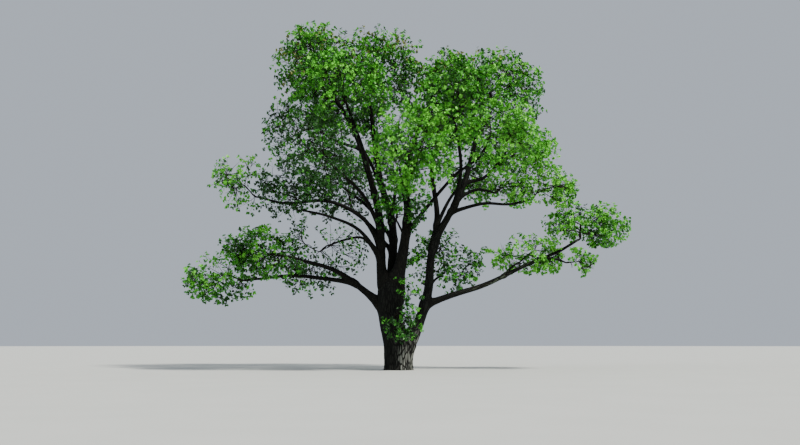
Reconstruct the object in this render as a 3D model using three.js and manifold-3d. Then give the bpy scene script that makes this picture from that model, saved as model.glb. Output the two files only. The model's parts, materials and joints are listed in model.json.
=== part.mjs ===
// A broad-crowned deciduous tree in spring leaf, rooted in the ground.
// Millimetres, +Z up. The origin is the middle of the flat cut at ground level, +X is the tree's
// long side (to the right as the tree is usually seen) and -Y is its front.
// The trunk, every bough and every mass of foliage is a closed solid of its own.

import * as THREE from "three";
import { mergeVertices } from "three/addons/utils/BufferGeometryUtils.js";
import Module from "manifold-3d";

const wasm = await Module();
wasm.setup();

// Driving dimensions
const GAP = 0.3; // between a limb and what it grows from
const TWIG_CLEARANCE = 25; // least room between foliage and any limb that passes it
const CELL_MARGIN = 12; // each mass stays this far inside its own space
const WELD = 1e-3; // points nearer than this are one

const TRUNK_SIDES = 16;
const FLARE_LOBES = 5; // root buttresses round the foot
const FLARE_SHARE = 0.07; // how far they stand out of the trunk's radius at the ground
const FLARE_HEIGHT = 700; // height at which they have faded to about a third

const COLLAR_SHARE = 0.35; // swelling where a limb leaves its parent, as a share of its radius
const COLLAR_REACH = 2; // radii over which the swelling fades
const TAPER_POWER = 0.8;
const LIMB_STEP = 1600; // length of one straight stretch of a bough
const STOUT = 150; // a bough thicker than this radius has more sides
const STOUT_SIDES = 8;
const SLIM_SIDES = 6;
const TWIG_SIDES = 3;
const LIMB_PLACES = 40; // places along a limb at which its own radius is looked up
const CURVE_TENSION = 0.5;

const CLUMPS = 5; // main twigs of one mass
const SPRAYS = 3; // leaf sprays spread round the end of one main twig
const CLUMP_REACH = 0.6; // where a main twig ends, as a share of the mass's radii
const CLUMP_SERIES = 20; // numbers set aside for the main twigs of one mass
const PULL = 0.22; // how far an end outside its space is drawn back, as a share of the way
const PULLS = 5;
const STEM_SHORT = 0.35; // how far a mass's stem stops short of its middle, as a share of the way
const STEM_LEAD = 0.3; // the share of its length over which it still follows its bough
const SPRAY_REACH = 0.68; // how far a spray reaches beyond that, as a share of the same radii
const LEAN = 0.5; // how far sprays lean on along their twig, beside how far they spread from it
const LIGHT = 0.35; // how strongly main twigs turn away from the heart of the crown
const HEART = [0, 0, 9500];
const SPRAY_WIDTH = 0.95; // of its length
const SPRAY_THICKNESS = 0.03; // of its length
const SPRAY_SHOULDER = 0.58; // where along its length a spray is widest
const SPRAY_KEEL = 0.25; // where along its length it is thickest
const SPRAY_TRIES = [1, 0.9, 0.8, 0.7, 0.6]; // a spray that finds no room is tried shorter
const ROOT_DEPTH = 90; // how far a root is sunk back along the middle of its twig
const ROOT_BACK = 0.5; // where that way leads, as a share of the twig behind the root
const NODE_SHARES = [0.5, 1]; // where along a twig others may grow from it
const UPRIGHT = 0.1; // a heading with less level length than this has no side of its own
const ROOT_SPACING = 0.16; // between the roots of two sprays, as a share of their twig
const DETOUR_COST = 0.5; // how much a twig prefers a short way back to its bough
const CHILD_SHARE = 0.85; // a twig's radius where it starts, as a share of what it grows from
const TWIG_TAPER = 0.8; // its radius at its end, as a share of that
const TRUNK_TWIG = 60; // radius of a twig that grows straight from the trunk

// The trunk's sections: height, middle (x, y) and half widths along X and Y
const TRUNK = [
  { z: 0, x: -40, y: 0, rx: 800, ry: 830 },
  { z: 350, x: -30, y: 0, rx: 775, ry: 780 },
  { z: 900, x: -10, y: 0, rx: 790, ry: 770 },
  { z: 1500, x: -10, y: 0, rx: 830, ry: 780 },
  { z: 2200, x: -300, y: 0, rx: 680, ry: 730 },
  { z: 3000, x: -440, y: 0, rx: 660, ry: 700 },
  { z: 3800, x: -420, y: 0, rx: 690, ry: 690 },
  { z: 4400, x: -380, y: 0, rx: 620, ry: 620 },
  { z: 4850, x: -360, y: 0, rx: 420, ry: 420 },
  { z: 5050, x: -360, y: 0, rx: 170, ry: 170 },
];

// Limbs, each one tapering: what it grows from and at which height, the points that it bends
// through, its tip, and its radius at both ends. Each carries the mass of foliage named with it.
const LIMBS = [
  { name: "left_stem", from: "trunk", height: 3900, radii: [290, 95], feeds: "top_left",
    bends: [[-920, -100, 5300], [-1050, -200, 8300], [-1800, -100, 11300], [-2600, 0, 13500]],
    tip: [-3700, 0, 15300] },
  { name: "inner_left_stem", from: "trunk", height: 4000, radii: [290, 90], feeds: "top_middle",
    bends: [[-350, 450, 5700], [-350, 800, 8000], [-1100, 1000, 11000]], tip: [-1700, 700, 15400] },
  { name: "centre_stem", from: "trunk", height: 4000, radii: [360, 90], feeds: "top_notch",
    bends: [[150, -300, 5900], [500, -400, 8600], [350, -300, 10600]], tip: [1300, 0, 14000] },
  { name: "right_stem", from: "trunk", height: 900, radii: [320, 90], feeds: "top_right",
    bends: [[950, 0, 2200], [1600, -100, 4200], [1950, -150, 6800], [3400, -200, 9600], [4100, 0, 11800]],
    tip: [4700, 0, 14300] },
  { name: "right_inner_stem", from: "right_stem", height: 6700, radii: [180, 80], feeds: "top_back_right",
    bends: [[2150, 300, 8600], [1900, 1100, 11400]], tip: [2500, 2700, 13500] },
  { name: "front_top_right_bough", from: "right_stem", height: 9000, radii: [120, 70],
    feeds: "top_front_right", bends: [[3400, -1300, 11000]], tip: [3000, -2500, 13200] },
  { name: "front_top_left_bough", from: "left_stem", height: 9500, radii: [120, 70],
    feeds: "top_front_left", bends: [[-1900, -1400, 11800]], tip: [-2700, -2600, 13900] },
  { name: "back_top_left_bough", from: "inner_left_stem", height: 9300, radii: [130, 70],
    feeds: "top_back_left", bends: [[-1600, 2200, 11800]], tip: [-2800, 3100, 14000] },
  { name: "left_high_bough", from: "left_stem", height: 12200, radii: [95, 60], feeds: "left_shoulder",
    bends: [[-3500, 0, 12700]], tip: [-4600, 100, 13400] },
  { name: "right_upper_bough", from: "right_stem", height: 10200, radii: [110, 60],
    feeds: "right_shoulder", bends: [[4900, 0, 10700]], tip: [6000, 0, 12000] },
  { name: "front_left_bough", from: "left_stem", height: 7600, radii: [130, 70], feeds: "front_left",
    bends: [[-1900, -1900, 9300]], tip: [-3300, -3400, 10500] },
  { name: "front_centre_bough", from: "centre_stem", height: 8000, radii: [130, 70],
    feeds: "front_centre", bends: [[500, -2200, 9700]], tip: [700, -3800, 10500] },
  { name: "front_right_bough", from: "centre_stem", height: 7300, radii: [120, 65],
    feeds: "front_right", bends: [[1400, -1100, 8600], [2900, -2300, 10200]], tip: [4000, -3300, 10900] },
  { name: "back_left_bough", from: "inner_left_stem", height: 7200, radii: [130, 70],
    feeds: "back_left", bends: [[-1700, 2300, 9200]], tip: [-3200, 3700, 10600] },
  { name: "back_centre_bough", from: "inner_left_stem", height: 8200, radii: [130, 70],
    feeds: "back_centre", bends: [[-200, 2700, 10200]], tip: [100, 4400, 11000] },
  { name: "back_right_bough", from: "right_inner_stem", height: 7900, radii: [120, 70],
    feeds: "back_right", bends: [[3000, 2300, 9800]], tip: [3900, 3600, 11000] },
  { name: "left_long_bough", from: "left_stem", height: 6700, radii: [140, 55], feeds: "far_left",
    bends: [[-2000, -300, 8300], [-3900, -500, 9200], [-6200, -400, 9100]], tip: [-7800, -100, 9500] },
  { name: "left_arched_bough", from: "left_stem", height: 6100, radii: [120, 55], feeds: "left_lower",
    bends: [[-2200, -700, 7600], [-3800, -900, 8300]], tip: [-5300, -900, 8650] },
  { name: "left_back_bough", from: "inner_left_stem", height: 6400, radii: [110, 60],
    feeds: "left_inner", bends: [[-1500, 1300, 8000]], tip: [-2500, 1600, 8900] },
  { name: "front_low_bough", from: "centre_stem", height: 6200, radii: [90, 50], feeds: "front_low",
    bends: [[250, -1000, 7200]], tip: [-50, -1500, 7900] },
  { name: "right_middle_bough", from: "right_stem", height: 9400, radii: [105, 60],
    feeds: "right_lower", bends: [[4400, 100, 9950]], tip: [5300, 200, 9800] },
  { name: "right_far_bough", from: "right_stem", height: 8600, radii: [110, 55], feeds: "far_right",
    bends: [[4600, -900, 9000], [6000, -1000, 8950]], tip: [7100, -900, 9200] },
  { name: "left_low_bough", from: "trunk", height: 3050, radii: [230, 80], feeds: "low_left_middle",
    bends: [[-2200, -100, 4550], [-3600, -100, 5450]], tip: [-5500, -500, 6000] },
  { name: "left_lowest_bough", from: "left_low_bough", height: 4700, radii: [140, 55],
    feeds: "low_left_outer", bends: [[-3500, 100, 4900], [-5800, 200, 5150], [-7300, 100, 5000]],
    tip: [-8300, 0, 4900] },
  { name: "left_middle_bough", from: "left_stem", height: 5900, radii: [100, 50],
    feeds: "low_left_inner", bends: [[-1900, 300, 7200], [-2900, 550, 7200]], tip: [-3900, 800, 6900] },
  { name: "right_low_bough", from: "right_stem", height: 3500, radii: [180, 65],
    feeds: "low_right_outer", bends: [[2900, 0, 4050], [4800, 0, 4650], [7000, 0, 5700], [8800, 0, 6450]],
    tip: [9900, 0, 7100] },
  { name: "right_low_upper_bough", from: "right_low_bough", height: 5100, radii: [85, 50],
    feeds: "low_right_middle", bends: [[6300, 300, 5650]], tip: [6700, 600, 5900] },
  { name: "right_low_side_bough", from: "right_low_bough", height: 6100, radii: [70, 45],
    feeds: "low_right_lower", bends: [[8600, -500, 6000]], tip: [9000, -900, 5800] },
  { name: "right_stem_spur", from: "right_stem", height: 4500, radii: [80, 45], feeds: "stem_spray",
    bends: [[2050, 350, 4950]], tip: [2500, 900, 5300] },
];

// Masses of foliage: the middle and half widths of the egg-shaped space that each one fills
const MASSES = [
  { name: "top_left", middle: [-4300, 0, 16800], radii: [3000, 2900, 3000] },
  { name: "top_middle", middle: [-1100, 300, 16550], radii: [3000, 2700, 2950] },
  { name: "top_notch", middle: [2700, 100, 15800], radii: [2200, 2600, 2300] },
  { name: "top_right", middle: [4850, 0, 14800], radii: [3800, 3000, 3300] },
  { name: "top_front_left", middle: [-3000, -3600, 14500], radii: [2900, 2500, 2400] },
  { name: "top_front_right", middle: [3300, -3400, 14100], radii: [2900, 2500, 2400] },
  { name: "top_back_left", middle: [-3200, 3800, 15200], radii: [2900, 2500, 2400] },
  { name: "top_back_right", middle: [3100, 3800, 14600], radii: [2900, 2500, 2400] },
  { name: "left_shoulder", middle: [-5600, 0, 13300], radii: [2300, 2800, 2300] },
  { name: "right_shoulder", middle: [6700, 0, 11900], radii: [2300, 2900, 1900] },
  { name: "front_left", middle: [-4000, -4600, 11300], radii: [2600, 2400, 2300] },
  { name: "front_centre", middle: [1100, -5100, 11300], radii: [2800, 2500, 2600] },
  { name: "front_right", middle: [4900, -4500, 12100], radii: [2500, 2400, 2300] },
  { name: "back_left", middle: [-4000, 4900, 11800], radii: [2600, 2400, 2300] },
  { name: "back_centre", middle: [100, 5800, 12700], radii: [2700, 2300, 2500] },
  { name: "back_right", middle: [4400, 4800, 12300], radii: [2600, 2400, 2300] },
  { name: "far_left", middle: [-8700, -100, 10200], radii: [1800, 1900, 1800] },
  { name: "left_lower", middle: [-5800, -600, 10000], radii: [2400, 2700, 2000] },
  { name: "left_inner", middle: [-3000, 1700, 10100], radii: [2200, 2600, 2000] },
  { name: "front_low", middle: [-100, -2000, 8900], radii: [1900, 1700, 1700] },
  { name: "right_lower", middle: [5900, 500, 10100], radii: [2500, 2800, 1200] },
  { name: "far_right", middle: [7900, -500, 9900], radii: [2000, 2000, 1600] },
  { name: "low_left_outer", middle: [-9750, -300, 5200], radii: [2400, 2000, 1650] },
  { name: "low_left_middle", middle: [-7500, -700, 6350], radii: [3750, 2300, 1450] },
  { name: "low_left_inner", middle: [-4700, 1000, 6400], radii: [3000, 2000, 2400] },
  { name: "low_right_outer", middle: [10200, 100, 8000], radii: [2750, 2100, 1500] },
  { name: "low_right_middle", middle: [7300, 500, 6400], radii: [2600, 2000, 1200] },
  { name: "low_right_lower", middle: [9700, -900, 5800], radii: [1250, 1200, 800] },
  { name: "stem_spray", middle: [2600, 1200, 6200], radii: [2400, 1700, 2100] },
  { name: "trunk_spray", middle: [100, -1600, 3200], radii: [1400, 850, 1900], onTrunk: 2700 },
];

// Vectors and solids

const vector = (p) => new THREE.Vector3(p[0], p[1], p[2]);

function solidOf(geometry) {
  const bare = geometry.clone();
  bare.deleteAttribute("normal");
  bare.deleteAttribute("uv");
  const merged = mergeVertices(bare, WELD);
  const mesh = new wasm.Mesh({
    numProp: 3,
    vertProperties: new Float32Array(merged.attributes.position.array),
    triVerts: new Uint32Array(merged.index.array),
  });
  return new wasm.Manifold(mesh);
}

function geometryOf(solid) {
  const { vertProperties, triVerts } = solid.getMesh();
  const geometry = new THREE.BufferGeometry();
  geometry.setAttribute("position", new THREE.BufferAttribute(vertProperties, 3));
  geometry.setIndex(new THREE.BufferAttribute(triVerts, 1));
  geometry.computeVertexNormals();
  return geometry;
}

// The largest closed body of a solid: what a cut leaves loose is dropped and a sealed hollow filled
function largestBody(solid) {
  const bodies = solid.decompose();
  return bodies.reduce((best, body) => (body.volume() > best.volume() ? body : best));
}

function touches(solid, others) {
  return others.some((other) => !solid.intersect(other).isEmpty());
}

// A cylinder bent along a curve: radiusAt gives its radius from the share of its length
function tubeAlong(curve, radiusAt, sides, steps) {
  const tube = new THREE.CylinderGeometry(1, 1, 1, sides, steps);
  const frames = curve.computeFrenetFrames(steps, false);
  const position = tube.attributes.position;
  for (let i = 0; i < position.count; i += 1) {
    const share = 0.5 + position.getY(i);
    const ring = Math.round(share * steps);
    const radius = radiusAt(share);
    const point = curve.getPointAt(share);
    // the cylinder's own axes are turned so that its faces still point out
    point.addScaledVector(frames.normals[ring], radius * position.getZ(i));
    point.addScaledVector(frames.binormals[ring], radius * position.getX(i));
    position.setXYZ(i, point.x, point.y, point.z);
  }
  return tube;
}

// Trunk

function trunkMiddle(height) {
  const above = TRUNK.findIndex((section) => section.z >= height);
  const [a, b] = [TRUNK[Math.max(above - 1, 0)], TRUNK[above]];
  const share = a === b ? 0 : (height - a.z) / (b.z - a.z);
  return new THREE.Vector3(
    THREE.MathUtils.lerp(a.x, b.x, share),
    THREE.MathUtils.lerp(a.y, b.y, share),
    height,
  );
}

function trunkSolid(extra) {
  const tube = new THREE.CylinderGeometry(1, 1, 1, TRUNK_SIDES, TRUNK.length - 1);
  const position = tube.attributes.position;
  for (let i = 0; i < position.count; i += 1) {
    const section = TRUNK[Math.round((0.5 + position.getY(i)) * (TRUNK.length - 1))];
    const [across, along] = [position.getZ(i), position.getX(i)];
    const lobes = FLARE_SHARE * Math.cos(FLARE_LOBES * Math.atan2(along, across));
    const swell = 1 + lobes * Math.exp(-section.z / FLARE_HEIGHT);
    position.setXYZ(
      i,
      section.x + across * (section.rx * swell + extra),
      section.y + along * (section.ry * swell + extra),
      section.z + (section === TRUNK.at(-1) ? extra : 0),
    );
  }
  return solidOf(tube);
}

// Limbs

function pointAtHeight(curve, height) {
  const points = curve.getSpacedPoints(5 * LIMB_PLACES);
  return points.find((point) => point.z >= height) ?? points.at(-1);
}

function planLimb(limb, plans) {
  const parent = plans.get(limb.from);
  const start = parent ? pointAtHeight(parent.curve, limb.height) : trunkMiddle(limb.height);
  const parentRadius = parent ? parent.radiusNear(start) : TRUNK[0].rx;
  const curve = new THREE.CatmullRomCurve3(
    [start, ...limb.bends.map(vector), vector(limb.tip)], false, "catmullrom", CURVE_TENSION,
  );
  const length = curve.getLength();
  const [thick, thin] = limb.radii;
  const radiusAt = (share) => {
    const clear = Math.max(0, share * length - parentRadius);
    const collar = COLLAR_SHARE * thick * Math.exp(-clear / (COLLAR_REACH * thick));
    return thick + (thin - thick) * share ** TAPER_POWER + collar;
  };
  const spaced = curve.getSpacedPoints(LIMB_PLACES);
  const radiusNear = (point) => {
    const nearest = spaced.reduce((best, p, i) =>
      p.distanceTo(point) < spaced[best].distanceTo(point) ? i : best, 0);
    return radiusAt(nearest / LIMB_PLACES);
  };
  return { ...limb, curve, length, radiusAt, radiusNear };
}

function limbSolid(plan, extra) {
  const steps = Math.max(2, Math.round(plan.length / LIMB_STEP));
  const sides = plan.radii[0] > STOUT ? STOUT_SIDES : SLIM_SIDES;
  return solidOf(tubeAlong(plan.curve, (share) => plan.radiusAt(share) + extra, sides, steps));
}

// Growth rule: evenly scattered directions, worked out from the number of the twig

function scatter(index, base) {
  let [value, share, rest] = [0, 1, index];
  while (rest > 0) {
    share /= base;
    value += share * (rest % base);
    rest = Math.floor(rest / base);
  }
  return value;
}

function direction(index) {
  const up = 1 - 2 * scatter(index, 2);
  const turn = 2 * Math.PI * scatter(index, 3);
  const level = Math.sqrt(1 - up * up);
  return new THREE.Vector3(level * Math.cos(turn), level * Math.sin(turn), up);
}

// The space of a mass: its egg shape, cut by a plane halfway to each neighbour
function spaceOf(mass) {
  const middle = vector(mass.middle);
  const radii = vector(mass.radii);
  const walls = MASSES.filter((other) => other !== mass).map((other) => {
    const across = vector(other.middle).sub(middle);
    const distance = across.length();
    across.normalize();
    const mine = 1 / across.clone().divide(radii).length();
    const theirs = 1 / across.clone().divide(vector(other.radii)).length();
    return { across, reach: (distance * mine) / (mine + theirs) - CELL_MARGIN };
  });
  const holds = (point) => {
    const offset = point.clone().sub(middle);
    return offset.clone().divide(radii).length() <= 1
      && walls.every((wall) => offset.dot(wall.across) <= wall.reach);
  };
  return { middle, radii, holds };
}

// A level direction square to a heading, turned round it
function sideways(heading, turn) {
  const square = new THREE.Vector3(0, 0, 1).cross(heading);
  if (square.length() < UPRIGHT) square.set(1, 0, 0);
  return square.normalize().applyAxisAngle(heading, turn);
}

// Moves a point back towards a better one until the space holds it, or gives null
function pulledInside(point, towards, space) {
  const moved = point.clone();
  for (let tries = 0; tries < PULLS; tries += 1) {
    if (space.holds(moved)) return moved;
    moved.lerp(towards, PULL);
  }
  return null;
}

function twigSolid(curve, radius, steps, extra = 0) {
  const radiusAt = (share) => extra + radius * THREE.MathUtils.lerp(1, TWIG_TAPER, share);
  return solidOf(tubeAlong(curve, radiusAt, TWIG_SIDES, steps));
}

// A spray of leaves as one eight-faced blade from its root to its tip: flat beneath, with a keel
// above that faces the light
function sprayGeometry(root, tip, light) {
  const along = tip.clone().sub(root);
  const length = along.length();
  along.normalize();
  const side = light.clone().cross(along).normalize();
  const flat = along.clone().cross(side);
  const blade = new THREE.ConeGeometry(1, 1, 4);
  const position = blade.attributes.position;
  for (let i = 0; i < position.count; i += 1) {
    const [x, y, z] = [position.getX(i), 0.5 + position.getY(i), position.getZ(i)];
    const middle = y > 0.5 ? SPRAY_KEEL : SPRAY_SHOULDER * (1 - Math.abs(z)) + (z > 0.5 ? 1 : 0);
    const point = root.clone().addScaledVector(along, middle * length);
    point.addScaledVector(side, 0.5 * SPRAY_WIDTH * length * x);
    point.addScaledVector(flat, SPRAY_THICKNESS * length * y);
    position.setXYZ(i, point.x, point.y, point.z);
  }
  return blade;
}

function staysInside(geometry, space) {
  const position = geometry.attributes.position;
  const point = new THREE.Vector3();
  for (let i = 0; i < position.count; i += 1) {
    if (!space.holds(point.fromBufferAttribute(position, i))) return false;
  }
  return true;
}

// The longest spray from a root that stays in its space and touches nothing, or null
function roomySpray(root, reach, light, space, obstacles) {
  for (const share of SPRAY_TRIES) {
    const blade = sprayGeometry(root, root.clone().addScaledVector(reach, share), light);
    if (!staysInside(blade, space)) continue;
    const leaf = solidOf(blade);
    if (!touches(leaf, obstacles)) return leaf;
  }
  return null;
}

// The stem of a mass leaves its bough's tip, or the trunk, in line with it
function stemCurve(mass, limb, space) {
  const start = new THREE.Vector3();
  const heading = new THREE.Vector3();
  if (limb) {
    limb.curve.getPointAt(1, start);
    limb.curve.getTangentAt(1, heading);
    start.addScaledVector(heading, GAP);
  } else {
    heading.set(0, -1, 0);
    start.copy(trunkMiddle(mass.onTrunk));
  }
  const hub = space.middle.clone().lerp(start, STEM_SHORT);
  const first = start.clone().addScaledVector(heading, STEM_LEAD * start.distanceTo(hub));
  return new THREE.CatmullRomCurve3([start, first, hub], false, "catmullrom", CURVE_TENSION);
}

// A place on a twig where another may grow, sunk well into the straight stretch behind it
function nodeOn(curve, share, path, radius) {
  const heading = curve.getTangentAt(share);
  const at = curve.getPointAt(share);
  at.add(curve.getPointAt(share - ROOT_BACK).sub(at).setLength(ROOT_DEPTH));
  const room = CHILD_SHARE * radius * THREE.MathUtils.lerp(1, TWIG_TAPER, share);
  return { at, heading, path: path + share * curve.getLength(), radius: room };
}

// Joins a point to the node that gives the shortest way back without turning round
function bestNode(nodes, point) {
  const cost = (node) => {
    const step = point.clone().sub(node.at);
    const backwards = Math.max(0, -step.clone().normalize().dot(node.heading));
    return step.length() * (1 + backwards) + DETOUR_COST * node.path;
  };
  return nodes.reduce((best, node) => (cost(node) < cost(best) ? node : best));
}

// One mass: a stem, main twigs that branch from it, and sprays on their outer halves
function massSolid(mass, number, stem, obstacles) {
  const space = spaceOf(mass);
  const nodes = NODE_SHARES.map((share) => nodeOn(stem.curve, share, 0, stem.radius));
  const away = space.middle.clone().sub(vector(HEART)).normalize();
  const ends = [];
  for (let clump = 0; clump < CLUMPS; clump += 1) {
    const series = CLUMP_SERIES * number + clump;
    const scattered = clump > 0 ? direction(series) : away;
    const outward = scattered.clone().addScaledVector(away, LIGHT).normalize();
    const end = space.middle.clone()
      .add(outward.clone().multiplyScalar(CLUMP_REACH).multiply(space.radii));
    const inside = pulledInside(end, space.middle, space);
    if (inside) ends.push({ series, end: inside });
  }
  ends.sort((a, b) => a.end.distanceTo(nodes[0].at) - b.end.distanceTo(nodes[0].at));
  const leaves = [];
  let solid = stem.solid;
  for (const { series, end } of ends) {
    const node = bestNode(nodes, end);
    const curve = new THREE.LineCurve3(node.at, end);
    const twig = twigSolid(curve, node.radius, 1);
    if (touches(twig, obstacles)) continue;
    solid = solid.add(twig);
    nodes.push(...NODE_SHARES.map((share) => nodeOn(curve, share, node.path, node.radius)));
    const heading = curve.getTangentAt(1);
    for (let spray = 0; spray < SPRAYS; spray += 1) {
      const turn = 2 * Math.PI * (spray / SPRAYS + scatter(series, 5));
      const lean = sideways(heading, turn).addScaledVector(heading, LEAN).normalize();
      const share = 1 - ROOT_SPACING * spray;
      const root = nodeOn(curve, share, 0, 0).at;
      const reach = lean.multiplyScalar(SPRAY_REACH).multiply(space.radii);
      const leaf = roomySpray(root, reach, heading, space, [...obstacles, ...leaves]);
      if (!leaf) continue;
      leaves.push(leaf);
      solid = solid.add(leaf);
    }
  }
  return largestBody(solid);
}

// Assembly

const BARK = { color: 0x3a3029, roughness: 0.95, metalness: 0 };
const LEAF_GREENS = [0x4f8f1f, 0x3f7d1c, 0x5f9f28];

function mesh(name, solid, finish) {
  const part = new THREE.Mesh(geometryOf(solid), new THREE.MeshStandardMaterial(finish));
  part.name = name;
  return part;
}

function buildTree() {
  const tree = new THREE.Group();
  const plans = new Map();
  const cutters = [trunkSolid(GAP)];
  const fences = [trunkSolid(TWIG_CLEARANCE)];
  const trunk = trunkSolid(0);
  tree.add(mesh("trunk", trunk, BARK));
  for (const limb of LIMBS) {
    const plan = planLimb(limb, plans);
    plans.set(limb.name, plan);
    const grown = cutters.reduce((rest, cutter) => rest.subtract(cutter), limbSolid(plan, 0));
    tree.add(mesh(limb.name, largestBody(grown), BARK));
    cutters.push(limbSolid(plan, GAP));
    fences.push(limbSolid(plan, TWIG_CLEARANCE));
  }
  const stems = MASSES.map((mass) => {
    const limb = [...plans.values()].find((plan) => plan.feeds === mass.name);
    const curve = stemCurve(mass, limb, spaceOf(mass));
    const radius = limb ? CHILD_SHARE * limb.radii[1] : TRUNK_TWIG;
    const whole = twigSolid(curve, radius, 2);
    const solid = limb ? whole : largestBody(whole.subtract(cutters[0]));
    return { curve, radius, solid, fence: twigSolid(curve, radius, 2, TWIG_CLEARANCE) };
  });
  MASSES.forEach((mass, number) => {
    const others = stems.filter((_, i) => i !== number).map((stem) => stem.fence);
    const solid = massSolid(mass, number, stems[number], [...fences, ...others]);
    const finish = { color: LEAF_GREENS[number % 3], roughness: 0.6, metalness: 0 };
    tree.add(mesh(`foliage_${mass.name}`, solid, finish));
  });
  return tree;
}

export default buildTree();
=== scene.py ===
import json
import logging
import math
from dataclasses import dataclass, field
from enum import Enum

import bpy
import numpy as np
from bpy.types import Material, NodeSocket, NodeTree, Object
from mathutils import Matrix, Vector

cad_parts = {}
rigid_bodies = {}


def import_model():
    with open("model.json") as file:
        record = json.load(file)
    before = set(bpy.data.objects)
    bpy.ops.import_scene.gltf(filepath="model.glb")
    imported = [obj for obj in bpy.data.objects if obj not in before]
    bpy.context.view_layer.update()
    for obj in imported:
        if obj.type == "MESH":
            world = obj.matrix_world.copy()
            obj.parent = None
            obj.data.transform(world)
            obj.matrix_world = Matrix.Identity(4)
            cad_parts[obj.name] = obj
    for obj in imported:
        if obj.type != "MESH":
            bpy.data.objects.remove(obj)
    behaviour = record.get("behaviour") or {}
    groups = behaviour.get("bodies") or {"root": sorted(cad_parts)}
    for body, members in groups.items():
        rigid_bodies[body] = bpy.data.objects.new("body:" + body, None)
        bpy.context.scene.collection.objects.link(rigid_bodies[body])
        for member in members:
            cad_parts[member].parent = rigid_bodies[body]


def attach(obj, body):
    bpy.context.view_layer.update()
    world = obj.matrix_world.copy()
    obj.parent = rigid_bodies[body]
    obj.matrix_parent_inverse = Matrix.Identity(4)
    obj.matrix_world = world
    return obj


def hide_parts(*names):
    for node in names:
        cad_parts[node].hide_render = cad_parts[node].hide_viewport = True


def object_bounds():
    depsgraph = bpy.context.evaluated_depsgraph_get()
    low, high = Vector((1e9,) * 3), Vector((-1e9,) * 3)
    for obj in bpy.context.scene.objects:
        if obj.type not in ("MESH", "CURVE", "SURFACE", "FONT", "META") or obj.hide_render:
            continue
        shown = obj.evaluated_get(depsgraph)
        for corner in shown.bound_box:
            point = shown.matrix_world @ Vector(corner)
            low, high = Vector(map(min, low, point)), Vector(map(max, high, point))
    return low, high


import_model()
CAD_BOX = np.array([list(corner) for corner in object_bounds()])

log = logging.getLogger("tree")

Array = np.ndarray
Pair = tuple[float, float]
Triple = tuple[float, float, float]
Colour = tuple[float, float, float, float]
Axis = tuple[Array, Array]  # points along a limb's middle, and the radius at each

UP = np.array([0.0, 0.0, 1.0])
SEED = 20
FACE_LIMIT = 190_000  # triangles in one piece
HASH_STEPS = np.array([127.1, 311.7, 74.7])
HASH_SCALE = 43758.5453
GOLDEN_ANGLE = 2.4
UPRIGHT = 0.1  # sine of the angle to the vertical below which a heading counts as upright
SHOOT_FACES = 10  # triangles of one side shoot


@dataclass(frozen=True)
class Limb:
    """A tapering stem or bough: its parent, where it leaves it, its radii, its mass and its way."""

    name: str
    parent: str
    height: float
    radii: Pair
    feeds: str
    way: tuple[Triple, ...]


@dataclass(frozen=True)
class Mass:
    """A mass of foliage in an egg-shaped space.

    It has a middle and half widths, the share of it that is full, how close its leaves stand there and how
    much brighter its leaves are than those of its neighbours, as painted light; below 0 it is painted shade.
    """

    name: str
    middle: Triple
    radii: Triple
    fullness: float = 1.0
    leafy: float = 1.0
    light: float = 0.0
    on_trunk: float | None = None


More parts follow.
